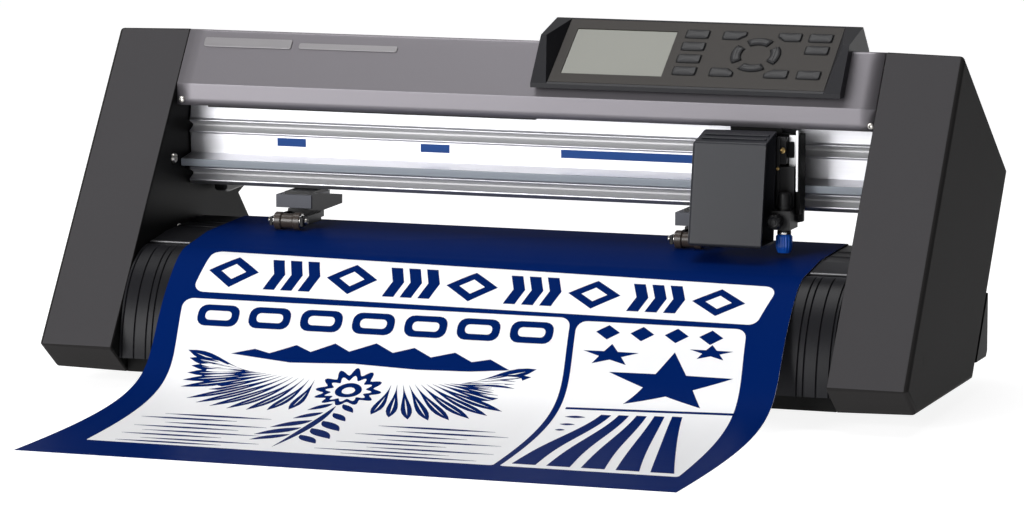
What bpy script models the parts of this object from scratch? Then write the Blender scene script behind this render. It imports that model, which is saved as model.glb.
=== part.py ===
"""Desktop vinyl cutter: two side covers, a top cover with a control panel, an aluminium
rail with a tool carriage, two pinch roller units, a grit shaft and a loaded vinyl sheet.

Lengths below are millimetres in the machine's own frame: X to the right, Y to the back,
Z up, with Y = 0 just behind the front face of the rail. SHIFT_Y moves the whole object
so that its origin is the middle of its base."""

import math

import bmesh
import bpy
from mathutils import Matrix, Vector

MM = 0.001
GAP = 0.3

# Whole object
HALF_WIDTH = 336.0
COVER_WIDTH = 59.0
INNER_X = HALF_WIDTH - COVER_WIDTH
SHEET_FRONT_Y = -418.0

# Side profile: a rectangle leaning back, cut off level above the feet
LEAN = math.radians(35.2)
FRONT_LENGTH = 278.5
BODY_DEPTH = 176.5
CREST = (-7.5, 260.6)
BASE_Z = 11.5
COVER_WALL = 2.5

# Rail
RAIL_END_X = INNER_X - 0.6
RAIL_BACK_Y = 28.0
RAIL_BOTTOM_Z = 139.4
RAIL_TOP_Z = 201.0
GROOVE_Z = (184.8, 147.3)
GROOVE_HALF = 3.9
RIDGE_Y = -12.0
GROOVE_FLOOR_Y = -4.5
RAIL_LEDGE = ((-9.0, 164.0), (-29.5, 161.0), (-28.5, 155.3), (-10.0, 153.6))

# Platen, apron and feed
PLATEN_FRONT = (-92.5, 104.2)
PLATEN_BEND = (-60.0, 109.0)
PLATEN_REAR = (16.0, 111.6)
APRON_CENTRE = (-95.0, 24.0)
APRON_RADII = (57.0, 79.5)
GRIT_Y = -38.0
GRIT_RADIUS = 7.0
GRIT_ZONES = ((-208.0, -170.0), (-95.0, -57.0), (18.0, 200.0))

# Sheet
SHEET_HALF = 242.0
SHEET_THICK = 0.4
SHEET_LIFT = 0.6

# Carriage and tool
CARRIAGE_X = (146.3, 203.0)
TOOL_X, TOOL_Y = 212.0, -52.0
WHEEL_RADIUS = 11.0

# Pinch units
PINCH_X = (-184.0, 135.5)
PINCH_RADIUS = 6.7
PIVOT = (-2.0, 121.0)
LIFT_AXIS = (33.0, 138.0)

# Belt drive behind the rail
PULLEY_X, PULLEY_Z, PULLEY_RADIUS = 254.0, 184.0, 9.0

# Control panel: a slope whose lower left corner is PANEL_CORNER
PANEL_TILT = math.radians(35.4)
PANEL_CORNER = (24.0, -39.8, 232.2)
PANEL_SIZE = (214.0, 72.4)
HOUSING_X = (11.5, 251.0)
HOUSING_BASE_Z = 227.5

COLOURS = {
    "grey_metal": ((0.21, 0.19, 0.19), 0.45, 0.6),
    "dark_cover": ((0.075, 0.072, 0.078), 0.55, 0.0),
    "black": ((0.02, 0.02, 0.022), 0.5, 0.0),
    "aluminium": ((0.75, 0.76, 0.79), 0.3, 1.0),
    "steel": ((0.5, 0.5, 0.52), 0.35, 1.0),
    "black_steel": ((0.015, 0.015, 0.015), 0.5, 0.3),
    "panel": ((0.09, 0.08, 0.07), 0.45, 0.0),
    "key": ((0.045, 0.04, 0.038), 0.5, 0.0),
    "lcd": ((0.36, 0.37, 0.32), 0.25, 0.0),
    "rubber": ((0.03, 0.03, 0.03), 0.85, 0.0),
    "board": ((0.02, 0.14, 0.06), 0.5, 0.0),
    "vinyl": ((0.008, 0.03, 0.16), 0.3, 0.0),
    "blue_tip": ((0.01, 0.10, 0.45), 0.4, 0.0),
    "brass": ((0.6, 0.42, 0.15), 0.35, 1.0),
    "mat": ((0.25, 0.24, 0.22), 0.8, 0.0),
}


def clear_scene():
    for item in list(bpy.data.objects):
        bpy.data.objects.remove(item)


def new_collection(name, hidden=False):
    collection = bpy.data.collections.new(name)
    collection.hide_render = hidden
    bpy.context.scene.collection.children.link(collection)
    return collection


clear_scene()
PARTS = new_collection("vinyl_cutter")
CUTTERS = new_collection("cutters", hidden=True)
SHIFT_Y = 0.5 * (-SHEET_FRONT_Y - (CREST[0] + BODY_DEPTH * math.cos(LEAN)))


def material(name):
    found = bpy.data.materials.get(name)
    if found:
        return found
    colour, roughness, metallic = COLOURS[name]
    made = bpy.data.materials.new(name)
    made.use_nodes = True
    shader = made.node_tree.nodes["Principled BSDF"]
    shader.inputs["Base Color"].default_value = (*colour, 1.0)
    shader.inputs["Roughness"].default_value = roughness
    shader.inputs["Metallic"].default_value = metallic
    return made


def add_empty(name, place, parent=None, turn=0.0):
    """A helper frame at a place in millimetres, turned about X."""
    empty = bpy.data.objects.new(name, None)
    PARTS.objects.link(empty)
    empty.location = Vector(place) * MM
    empty.rotation_euler = (turn, 0.0, 0.0)
    empty.parent = parent
    return empty


MACHINE = add_empty("machine_frame", (0.0, SHIFT_Y, 0.0))
PANEL = add_empty("panel_frame", PANEL_CORNER, MACHINE, PANEL_TILT)


def finish(name, bm, colour, parent=None, origin=(0.0, 0.0, 0.0), smooth=None):
    """Turn a bmesh in millimetres into a node, or into a cutter where colour is None."""
    bmesh.ops.translate(bm, verts=bm.verts, vec=-Vector(origin))
    bmesh.ops.scale(bm, verts=bm.verts, vec=(MM, MM, MM))
    bmesh.ops.recalc_face_normals(bm, faces=bm.faces)
    mesh = bpy.data.meshes.new(name)
    bm.to_mesh(mesh)
    bm.free()
    item = bpy.data.objects.new(name, mesh)
    item.parent = parent or MACHINE
    item.location = Vector(origin) * MM
    if colour is None:
        item.hide_render = True
        item.display_type = "WIRE"
        CUTTERS.objects.link(item)
        return item
    PARTS.objects.link(item)
    mesh.materials.append(material(colour))
    if smooth:
        mesh.shade_smooth()
        mesh.set_sharp_from_angle(angle=math.radians(smooth))
    return item


def box_mesh(low, high):
    """A box between two corners."""
    bm = bmesh.new()
    bmesh.ops.create_cube(bm, size=1.0)
    low, high = Vector(low), Vector(high)
    bmesh.ops.scale(bm, verts=bm.verts, vec=high - low)
    bmesh.ops.translate(bm, verts=bm.verts, vec=(low + high) / 2)
    return bm


def prism_mesh(outline, x0, x1):
    """An outline of (y, z) points, extruded along X."""
    bm = bmesh.new()
    face = bm.faces.new([bm.verts.new((x0, y, z)) for y, z in outline])
    made = bmesh.ops.extrude_face_region(bm, geom=[face])["geom"]
    moved = [part for part in made if isinstance(part, bmesh.types.BMVert)]
    bmesh.ops.translate(bm, verts=moved, vec=(x1 - x0, 0.0, 0.0))
    return bm


def rod_mesh(axis, centre, radius, length, sides=24):
    """A cylinder along an axis, from its middle."""
    bm = bmesh.new()
    bmesh.ops.create_cone(bm, cap_ends=True, segments=sides, radius1=radius, radius2=radius, depth=length)
    turn = {"X": Matrix.Rotation(math.pi / 2, 3, "Y"), "Y": Matrix.Rotation(-math.pi / 2, 3, "X")}
    if axis in turn:
        bmesh.ops.rotate(bm, verts=bm.verts, matrix=turn[axis])
    bmesh.ops.translate(bm, verts=bm.verts, vec=centre)
    return bm


def boolean(target, other, operation="DIFFERENCE"):
    modifier = target.modifiers.new(f"{operation.lower()}_{other.name}", "BOOLEAN")
    modifier.operation = operation
    modifier.object = other


def cut(target, name, bm, parent=None):
    boolean(target, finish(name, bm, None, parent))


def join(target, name, bm, parent=None):
    boolean(target, finish(name, bm, None, parent), "UNION")


def bevel(item, width, segments=2):
    modifier = item.modifiers.new("rounded_edges", "BEVEL")
    modifier.width = width * MM
    modifier.segments = segments
    modifier.limit_method = "ANGLE"
    return modifier


def turned(name, profile, place, axis, colour, steps=24):
    """A profile of (radius, height) points, from top to bottom, turned about an axis at a place."""
    mesh = bpy.data.meshes.new(name)
    edges = [(i, i + 1) for i in range(len(profile) - 1)]
    mesh.from_pydata([(r * MM, 0.0, h * MM) for r, h in profile], edges, [])
    item = bpy.data.objects.new(name, mesh)
    PARTS.objects.link(item)
    mesh.materials.append(material(colour))
    item.parent = MACHINE
    item.location = Vector(place) * MM
    item.rotation_euler = {"X": (0, math.pi / 2, 0), "Y": (-math.pi / 2, 0, 0), "Z": (0, 0, 0)}[axis]
    screw = item.modifiers.new("turned", "SCREW")
    screw.steps = screw.render_steps = steps
    screw.use_merge_vertices = True
    screw.merge_threshold = 0.00001
    return item


def strip(name, path, half_x, thickness, colour):
    """An open surface along a (y, z) path, thickened away from its outer side."""
    bm = bmesh.new()
    rows = [[bm.verts.new((x, y, z)) for y, z in path] for x in (-half_x, half_x)]
    for i in range(len(path) - 1):
        bm.faces.new((rows[0][i], rows[0][i + 1], rows[1][i + 1], rows[1][i]))
    item = finish(name, bm, colour, smooth=30)
    wall = item.modifiers.new("wall", "SOLIDIFY")
    wall.thickness = thickness * MM
    wall.offset = -1.0
    wall.use_even_offset = True
    return item


# ---------------------------------------------------------------- profiles

def rear_y(z):
    """The sloping rear face of the body at a height."""
    rear = CREST[0] + BODY_DEPTH * math.cos(LEAN)
    top = CREST[1] - BODY_DEPTH * math.sin(LEAN)
    return rear - (top - z) * math.tan(LEAN)


def front_y(z):
    """The sloping front face of the body at a height."""
    return CREST[0] - (CREST[1] - z) * math.tan(LEAN)


def body_outline(inset=0.0):
    """The side profile, with every side moved inwards by an inset."""
    cos, sin = math.cos(LEAN), math.sin(LEAN)
    near, far = inset * (cos - sin), inset * (cos + sin)
    crest = (CREST[0] + near, CREST[1] - far)
    rear_top = (CREST[0] + BODY_DEPTH * cos - far, CREST[1] - BODY_DEPTH * sin - near)
    low = BASE_Z + inset
    rear_low = (rear_y(low) - inset / cos, low)
    nose_z = CREST[1] - FRONT_LENGTH * cos
    nose = (front_y(nose_z) + far, nose_z + near)
    under = (nose[0] + (nose[1] - low) / math.tan(LEAN), low)
    return [nose, crest, rear_top, rear_low, under]


def platen_z(y):
    """The platen's upper surface."""
    a, b = (PLATEN_FRONT, PLATEN_BEND) if y < PLATEN_BEND[0] else (PLATEN_BEND, PLATEN_REAR)
    return a[1] + (b[1] - a[1]) * (y - a[0]) / (b[0] - a[0])


def apron_point(angle, out=0.0):
    """A point on the apron's elliptic front, from 0 at its top to 90 degrees at its bottom."""
    y = APRON_CENTRE[0] - (APRON_RADII[0] + out) * math.sin(angle)
    z = APRON_CENTRE[1] + (APRON_RADII[1] + out) * math.cos(angle)
    return y, z


# ---------------------------------------------------------------- body

REAR_GAP = ((91.0, 120.5), (114.0, 128.2), (140.0, 132.0), (140.0, 98.0), (113.0, 99.0))
REAR_TAB = ((70.0, 112.0), (91.0, 120.5), (113.0, 99.0), (104.0, 90.0), (70.0, 88.0))
REAR_NOTCH = ((80.0, 121.5), (91.0, 121.5), (114.0, 128.6), (140.0, 132.4), (140.0, 84.0), (80.0, 84.0))
NOTCH_DEPTH = 9.0


def side_cover(side, name):
    """A moulded shell, open on its inner side, with a notch in its rear edge for the frame's tab."""
    x0, x1 = sorted((side * INNER_X, side * HALF_WIDTH))
    cover = finish(name, prism_mesh(body_outline(), x0, x1), "dark_cover")
    hollow = sorted((side * (INNER_X - 1.0), side * (HALF_WIDTH - COVER_WALL)))
    cut(cover, f"{name}_hollow", prism_mesh(body_outline(COVER_WALL), *hollow))
    notch = sorted((side * (INNER_X - 2.0), side * (INNER_X + NOTCH_DEPTH)))
    cut(cover, f"{name}_notch", prism_mesh(REAR_NOTCH, *notch))


def side_frame(side, name):
    """The steel plate that closes a side cover, with a rear tab under the gap for the sheet."""
    x0, x1 = sorted((side * (INNER_X + GAP), side * (INNER_X + GAP + 3.0)))
    plate = finish(name, prism_mesh(body_outline(COVER_WALL + GAP), x0, x1), "black_steel")
    place = (side * (INNER_X + 2.0), GRIT_Y, grit_z())
    cut(plate, f"{name}_bearing", rod_mesh("X", place, 5.0, 12.0))
    join(plate, f"{name}_tab", prism_mesh(REAR_TAB, x0, x1))
    cut(plate, f"{name}_gap", prism_mesh(REAR_GAP, x0 - 2.0, x1 + 2.0))


def grit_z():
    return platen_z(GRIT_Y) + GAP - GRIT_RADIUS


def top_cover():
    """A bent sheet: a lip, a slope in line with the side covers, and a rear slope."""
    rear_top = body_outline()[2]
    lip_y = -36.0
    flange = 14.0
    path = [
        (lip_y, 203.5),
        (lip_y, 220.0),
        CREST,
        rear_top,
        (rear_top[0] - flange * math.sin(LEAN), rear_top[1] - flange * math.cos(LEAN)),
    ]
    cover = strip("top_cover", path, RAIL_END_X, 2.0, "grey_metal")
    low = (HOUSING_X[0] - GAP, -60.0, HOUSING_BASE_Z - GAP)
    cut(cover, "panel_opening", box_mesh(low, (HOUSING_X[1] + GAP, 60.0, 300.0)))


def base_tray():
    """A folded steel channel under the platen, open at the top."""
    front, back, wall = -137.0, 24.0, 2.5
    outline = [
        (front, BASE_Z), (back, BASE_Z), (back, 100.0), (back - wall, 100.0),
        (back - wall, BASE_Z + wall), (front + wall, BASE_Z + wall), (front + wall, 28.0), (front, 28.0),
    ]
    finish("base_tray", prism_mesh(outline, -RAIL_END_X, RAIL_END_X), "black_steel")


def front_apron():
    """An elliptic moulded front, over which the sheet slides down."""
    steps = 12
    path = [apron_point(math.radians(90.0 * i / steps)) for i in range(steps, -1, -1)]
    strip("front_apron", path, RAIL_END_X, 2.5, "black")


def platen():
    """The moulded table under the rail, with slots for the grit zones and a mat groove."""
    rear = [(PLATEN_REAR[0] + 9.0 * math.sin(a), PLATEN_REAR[1] - 9.0 + 9.0 * math.cos(a))
            for a in (math.radians(30.0 * i) for i in range(4))]
    path = [PLATEN_FRONT, PLATEN_BEND, *rear]
    table = strip("platen", path, RAIL_END_X, 2.5, "black")
    for x0, x1 in GRIT_ZONES:
        half = 8.6
        low = (x0 - 1.0, GRIT_Y - half, 100.0)
        cut(table, f"grit_slot_{x0:.0f}", box_mesh(low, (x1 + 1.0, GRIT_Y + half, 115.0)))
    cut(table, "mat_groove", mat_mesh(4.6, 1.0, 2.0, 243.0))


def mat_mesh(half_y, depth, above, half_x):
    """A strip along the tool's line, from a depth below the platen's surface to a height above it."""
    y0, y1 = TOOL_Y - half_y, TOOL_Y + half_y
    outline = [(y0, platen_z(y0) - depth), (y1, platen_z(y1) - depth),
               (y1, platen_z(y1) + above), (y0, platen_z(y0) + above)]
    return prism_mesh(outline, -half_x, half_x)


def feet():
    for x in (-255.0, 255.0):
        for y in (-38.0, 14.0):
            name = f"foot_{'front' if y < 0 else 'rear'}_{'left' if x < 0 else 'right'}"
            profile = [(0.0, BASE_Z - GAP), (10.0, BASE_Z - GAP), (12.0, 1.0), (11.0, 0.0), (0.0, 0.0)]
            turned(name, profile, (x, y, 0.0), "Z", "rubber", steps=20)


# ---------------------------------------------------------------- rail

def rail():
    """An extrusion with a V groove above and another below a ledge that stands forward."""
    face_y = -9.0
    upper, lower = GROOVE_Z
    tip = 1.2
    groove = []
    for z in (upper, lower):
        groove.append([
            (RIDGE_Y, z + GROOVE_HALF + tip), (RIDGE_Y, z + GROOVE_HALF),
            (GROOVE_FLOOR_Y, z + 0.6), (GROOVE_FLOOR_Y, z - 0.6),
            (RIDGE_Y, z - GROOVE_HALF), (RIDGE_Y, z - GROOVE_HALF - tip),
        ])
    top_groove, low_groove = groove
    outline = [
        (RAIL_BACK_Y, RAIL_TOP_Z), (face_y, RAIL_TOP_Z), (face_y, upper + 6.4), *top_groove,
        (face_y, upper - 6.2), *RAIL_LEDGE, *low_groove,
        (face_y, RAIL_BOTTOM_Z), (RAIL_BACK_Y, RAIL_BOTTOM_Z),
    ]
    finish("y_rail", prism_mesh(outline, -RAIL_END_X, RAIL_END_X), "aluminium")


def flex_cable():
    """The flat cable that lies above the rail and feeds the carriage."""
    finish("flex_cable", box_mesh((-255.0, -26.0, 201.3), (10.0, -22.0, 203.3)), "black")


# ---------------------------------------------------------------- control panel

def panel_box(u0, u1, v0, v1, n0, n1):
    """A box in the panel's frame: u to the right, v up the slope, n out of the face."""
    return box_mesh((u0, v0, n0), (u1, v1, n1))


def panel_housing():
    """A wedge through the top cover, with two cheeks that rise beside the sloping face."""
    outline = [
        (-42.0, HOUSING_BASE_Z), (-42.0, 231.0), (-17.0, 265.0), (22.0, 274.8),
        (40.2, 256.0), (41.5, HOUSING_BASE_Z),
    ]
    housing = finish("panel_housing", prism_mesh(outline, *HOUSING_X), "black")
    recess = panel_box(0.0, PANEL_SIZE[0], -8.0, PANEL_SIZE[1], 0.0, 30.0)
    for vert in recess.verts:
        if vert.co.z > 1.0:
            vert.co.x += 17.8 if vert.co.x > 1.0 else -17.8
    cut(housing, "panel_recess", recess, PANEL)
    cut(housing, "panel_pocket", panel_box(0.0, PANEL_SIZE[0], 0.0, PANEL_SIZE[1], -4.5, 1.0), PANEL)


KEY_SIZE = (17.8, 8.9)
KEYS = {
    "key_menu_1": (103.0, 59.2), "key_menu_2": (103.0, 45.2),
    "key_menu_3": (103.0, 31.2), "key_menu_4": (103.0, 17.2),
    "key_upper_left": (132.0, 59.0), "key_upper_right": (174.6, 59.0),
    "key_side_top": (198.5, 59.0), "key_side_middle": (198.5, 45.2),
    "key_lower_left": (131.6, 17.2), "key_lower_right": (173.6, 17.2),
    "key_side_bottom": (198.5, 17.2),
}
KEY_CUT = (5.5, 4.4)
CUT_CORNERS = {"key_upper_left": (1, -1), "key_upper_right": (-1, -1),
               "key_lower_left": (1, 1), "key_lower_right": (-1, 1)}
RING_CENTRE = (153.0, 37.9)
RING_RADII = (11.5, 18.8)
RING_SPAN = math.radians(66.0)
ARROWS = {"key_arrow_right": 0.0, "key_arrow_up": 90.0, "key_arrow_left": 180.0, "key_arrow_down": 270.0}
LCD = (7.8, 86.6, 10.2, 61.8)


def plate_mesh(outline, low, high):
    """A flat outline on the panel, drawn up from one height to another."""
    bm = bmesh.new()
    face = bm.faces.new([bm.verts.new((u, v, low)) for u, v in outline])
    made = bmesh.ops.extrude_face_region(bm, geom=[face])["geom"]
    moved = [part for part in made if isinstance(part, bmesh.types.BMVert)]
    bmesh.ops.translate(bm, verts=moved, vec=(0.0, 0.0, high - low))
    return bm


def arc_outline(middle, grow):
    """A ring sector about RING_CENTRE, grown by a clearance."""
    inner, outer = RING_RADII[0] - grow, RING_RADII[1] + grow
    steps = 6
    points = []
    for radius, order in ((outer, range(steps + 1)), (inner, range(steps, -1, -1))):
        span = RING_SPAN + 2 * grow / radius
        for i in order:
            angle = middle + span * (i / steps - 0.5)
            points.append((RING_CENTRE[0] + radius * math.cos(angle),
                           RING_CENTRE[1] + radius * math.sin(angle)))
    return points


def key_mesh(name, grow, low, high):
    """A key's outline grown by a clearance: a ring sector, or a rectangle that may have one corner cut off."""
    if name in ARROWS:
        return plate_mesh(arc_outline(math.radians(ARROWS[name]), grow), low, high)
    u, v = KEYS[name]
    half_u, half_v = KEY_SIZE[0] / 2 + grow, KEY_SIZE[1] / 2 + grow
    outline = [(-half_u, -half_v), (half_u, -half_v), (half_u, half_v), (-half_u, half_v)]
    if name in CUT_CORNERS:
        side, up = CUT_CORNERS[name]
        leg_u, leg_v = KEY_CUT
        share = 1.0 + grow * (leg_u + leg_v - math.hypot(leg_u, leg_v)) / (leg_u * leg_v)
        pair = [(half_u * side, (half_v - leg_v * share) * up), ((half_u - leg_u * share) * side, half_v * up)]
        spot = outline.index((half_u * side, half_v * up))
        outline[spot:spot + 1] = pair if side * up > 0 else pair[::-1]
    return plate_mesh([(u + x, v + y) for x, y in outline], low, high)


def panel_face():
    """The fascia plate, with an opening for each key and for the display."""
    width, height = PANEL_SIZE
    plate = finish("panel_face", panel_box(GAP, width - GAP, GAP, height - GAP, -2.2, 0.0), "panel", PANEL)
    for name in (*KEYS, *ARROWS):
        cut(plate, f"{name}_hole", key_mesh(name, 0.35, -5.0, 5.0), PANEL)
    cut(plate, "display_hole", panel_box(LCD[0], LCD[1], LCD[2], LCD[3], -5.0, 5.0), PANEL)


def keys():
    for name in (*KEYS, *ARROWS):
        if name in ARROWS:
            angle = math.radians(ARROWS[name])
            reach = sum(RING_RADII) / 2
            middle = (RING_CENTRE[0] + reach * math.cos(angle), RING_CENTRE[1] + reach * math.sin(angle), 0.0)
        else:
            middle = (*KEYS[name], 0.0)
        finish(name, key_mesh(name, 0.0, -3.2, 1.2), "key", PANEL, middle)


def display():
    low = (LCD[0] + GAP, LCD[2] + GAP, -4.2)
    finish("lcd_module", box_mesh(low, (LCD[1] - GAP, LCD[3] - GAP, -0.5)), "lcd", PANEL)


# ---------------------------------------------------------------- inside the covers

def electronics():
    finish("main_board", box_mesh((290.0, -60.0, 60.0), (291.8, 45.0, 150.0)), "board")
    finish("power_supply", box_mesh((296.0, -120.0, 22.0), (328.0, -35.0, 56.0)), "steel")


def motor(name, axis, centre, half, length, colour="black_steel"):
    """A square motor whose shaft runs along an axis."""
    low = [c - half for c in centre]
    high = [c + half for c in centre]
    index = "XYZ".index(axis)
    low[index], high[index] = centre[index] - length / 2, centre[index] + length / 2
    bevel(finish(name, box_mesh(low, high), colour), 2.0, 1)


FEED_MOTOR = (-80.0, 80.0)


def feed_drive():
    """The grit shaft, its pulley outside the left frame and the motor that turns it."""
    axis = (GRIT_Y, grit_z())
    shaft_ends = (-287.7, 283.0)
    middle = sum(shaft_ends) / 2
    shaft = finish("grit_shaft", rod_mesh("X", (middle, *axis), 4.0, shaft_ends[1] - shaft_ends[0]),
                   "steel", origin=(middle, *axis), smooth=40)
    for x0, x1 in GRIT_ZONES:
        join(shaft, f"grit_zone_{x0:.0f}", rod_mesh("X", ((x0 + x1) / 2, *axis), GRIT_RADIUS, x1 - x0, 32))
    teeth = [(0.0, 3.0), (15.0, 3.0), (15.0, -3.0), (0.0, -3.0)]
    turned("feed_pulley", teeth, (-291.0, *axis), "X", "black", steps=32)
    small = [(0.0, 3.0), (6.0, 3.0), (6.0, -3.0), (0.0, -3.0)]
    turned("feed_motor_pulley", small, (-291.0, *FEED_MOTOR), "X", "brass")
    motor("feed_motor", "X", (-313.5, *FEED_MOTOR), 21.0, 38.0)


def belt_drive():
    """The pulleys behind the rail, and the motor on the right one."""
    profile = [(0.0, 3.5), (PULLEY_RADIUS, 3.5), (PULLEY_RADIUS, -3.5), (0.0, -3.5)]
    turned("drive_pulley", profile, (PULLEY_X, 34.0, PULLEY_Z), "Y", "brass")
    turned("idler_pulley", profile, (-PULLEY_X, 34.0, PULLEY_Z), "Y", "black")
    motor("carriage_motor", "Y", (PULLEY_X, 54.0, PULLEY_Z), 17.0, 30.0)


def connectors():
    """The box behind the right cover, with the power inlet and its rocker switch."""
    low, top, back = 23.8, 72.0, 77.0
    skin = 0.5
    outline = [(rear_y(low) + skin, low), (back - 4.0, low), (back, low + 4.2), (back, top),
               (rear_y(top) + skin, top)]
    box = finish("connector_box", prism_mesh(outline, 284.0, HALF_WIDTH), "black")
    cut(box, "inlet_recess", box_mesh((288.0, 64.0, 30.0), (314.0, 80.0, 50.0)))
    cut(box, "switch_recess", box_mesh((318.0, 66.0, 30.8), (330.0, 80.0, 49.2)))
    inlet = finish("power_inlet", box_mesh((288.3, 64.3, 30.3), (313.7, 76.8, 49.7)), "black")
    cut(inlet, "inlet_mouth", box_mesh((291.0, 67.0, 33.0), (311.0, 80.0, 47.0)))
    rocker = [(71.0, 31.8), (76.8, 31.8), (75.4, 40.0), (77.6, 48.2), (71.0, 48.2)]
    finish("power_switch", prism_mesh(rocker, 318.5, 329.5), "key", origin=(324.0, 72.5, 40.0))


# ---------------------------------------------------------------- carriage

def carriage_frame():
    """A folded plate that carries the guide wheels and the tool arm, hooked over the rail."""
    frame = finish("carriage_frame", box_mesh((151.0, -33.4, 142.0), (222.0, -30.4, 200.0)), "steel")
    join(frame, "frame_right", box_mesh((219.0, -45.0, 141.0), (222.0, -32.0, 200.0)))
    join(frame, "frame_left", box_mesh((151.0, -46.0, 142.0), (153.5, -32.0, 196.0)))
    join(frame, "frame_neck", box_mesh((165.0, -33.4, 195.0), (205.0, -30.4, 207.0)))
    join(frame, "frame_bridge", box_mesh((165.0, -33.0, 204.5), (205.0, 34.0, 207.0)))
    join(frame, "belt_clamp", box_mesh((165.0, 31.0, 196.0), (205.0, 34.0, 206.0)))


def carriage_cover():
    """A moulded hood: left wall, leaning front and chamfered top, open to the right and back."""
    back, wall = -47.0, 2.0
    outline = [(back, 119.0), (-82.5, 119.0), (-70.0, 195.8), (-40.0, 202.6), (-40.0, 199.0), (back, 196.0)]
    cover = finish("carriage_cover", prism_mesh(outline, *CARRIAGE_X), "dark_cover")
    inner = [(back + 20.0, 110.0), (-80.0 + wall / 2, 110.0), (-68.0 + wall / 2, 193.6),
             (-47.0, 198.2), (back + 20.0, 196.0)]
    cut(cover, "hood_hollow", prism_mesh(inner, CARRIAGE_X[0] + wall, CARRIAGE_X[1] + 5.0))


def guide_wheel(x, z):
    """A wheel whose V edge runs in the rail's groove."""
    profile = [(0.0, 5.0), (4.0, 5.0), (4.0, 1.6), (6.5, 1.6), (WHEEL_RADIUS, 0.5),
               (WHEEL_RADIUS, -0.5), (6.5, -1.6), (4.0, -1.6), (4.0, -5.0), (0.0, -5.0)]
    turned("guide_wheel", profile, (x, -18.0, z), "Z", "steel", steps=28)


def tool():
    """The arm that lifts, the cutter holder in it and the knob that clamps the holder."""
    arm = finish("tool_arm", box_mesh((204.9, -60.0, 131.0), (218.7, -38.0, 145.0)), "black")
    join(arm, "arm_column", box_mesh((206.5, -44.5, 140.0), (217.5, -38.0, 176.0)))
    cut(arm, "holder_bore", rod_mesh("Z", (TOOL_X + 0.4, TOOL_Y, 138.0), 5.9, 30.0))
    body = [(0.0, 158.0), (4.5, 158.0), (4.5, 152.0), (5.5, 151.0), (5.5, 114.4), (4.6, 113.4), (0.0, 113.4)]
    turned("cutter_holder", body, (TOOL_X + 0.4, TOOL_Y, 0.0), "Z", "blue_tip")
    knob = [(0.0, 4.0), (5.0, 4.0), (5.2, -4.0), (0.0, -4.0)]
    turned("clamp_knob", knob, (208.5, -64.4, 137.5), "Y", "black")


# ---------------------------------------------------------------- pinch units

def pinch_unit(side, middle):
    """A block that slides under the rail, a forked arm and a rubber roller."""
    axis_z = platen_z(GRIT_Y) + SHEET_LIFT + SHEET_THICK + GAP + PINCH_RADIUS
    block_half = 14.5
    block = finish(f"pinch_block_{side}",
                   box_mesh((middle - block_half, -28.0, 126.5), (middle + block_half, 12.0, 136.5)), "black")
    join(block, f"neck_{side}", box_mesh((middle - 8.0, -26.0, 134.0), (middle + 14.0, 10.0, 139.0)))
    wing = [(138.4, 12.0), (138.4, 38.5), (131.5, 38.5), (125.0, 22.0), (125.0, 12.0)]
    outline = bmesh.new()
    face = outline.faces.new([outline.verts.new((middle + x, -27.0, z)) for z, x in wing])
    made = bmesh.ops.extrude_face_region(outline, geom=[face])["geom"]
    moved = [part for part in made if isinstance(part, bmesh.types.BMVert)]
    bmesh.ops.translate(outline, verts=moved, vec=(0.0, 3.0, 0.0))
    join(block, f"wing_{side}", outline)
    fork_half, leg = 13.5, 2.2
    arm = finish(f"pinch_arm_{side}", box_mesh((middle - fork_half, -6.0, 117.0), (middle + fork_half, 2.0, 123.0)),
                 "steel", origin=(middle, *PIVOT))
    for number, x in enumerate((middle - fork_half, middle + fork_half - leg)):
        join(arm, f"leg_{side}_{number}", box_mesh((x, -44.0, 114.5), (x + leg, -4.0, 121.2)))
    join(arm, f"axle_{side}", rod_mesh("X", (middle - 0.5, GRIT_Y, axis_z), 1.6, 29.0, 16))
    half = fork_half - leg - 0.6
    profile = [(2.0, half), (PINCH_RADIUS, half), (PINCH_RADIUS, 4.5), (5.6, 3.6), (5.6, -3.6),
               (PINCH_RADIUS, -4.5), (PINCH_RADIUS, -half), (2.0, -half), (2.0, half)]
    turned(f"pinch_roller_{side}", profile, (middle, GRIT_Y, axis_z), "X", "rubber", steps=28)


def lift_gear():
    """The shaft that raises both rollers, and the lever on its left end."""
    ends = (-262.0, 276.3)
    middle = sum(ends) / 2
    finish("lift_shaft", rod_mesh("X", (middle, *LIFT_AXIS), 3.6, ends[1] - ends[0], 20), "steel",
           origin=(middle, *LIFT_AXIS), smooth=40)
    y, z = LIFT_AXIS
    outline = [(y - 4.5, z - 8.0), (y + 4.0, z - 10.0), (y + 57.0, z - 8.0), (y + 93.0, z - 9.0),
               (y + 101.0, z - 4.0), (y + 93.0, z + 2.0), (y + 57.0, z + 0.5), (y + 5.0, z + 6.0),
               (y - 4.5, z + 6.0)]
    lever = finish("set_lever", prism_mesh(outline, -273.0, ends[0] - GAP), "black", origin=(-267.0, y, z))
    bevel(lever, 1.5, 1)


# ---------------------------------------------------------------- sheet

FLOOR_CLEAR = 0.05
DRAPE_LEAVE = math.radians(31.3)
TAIL_LENGTH = 46.0


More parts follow.
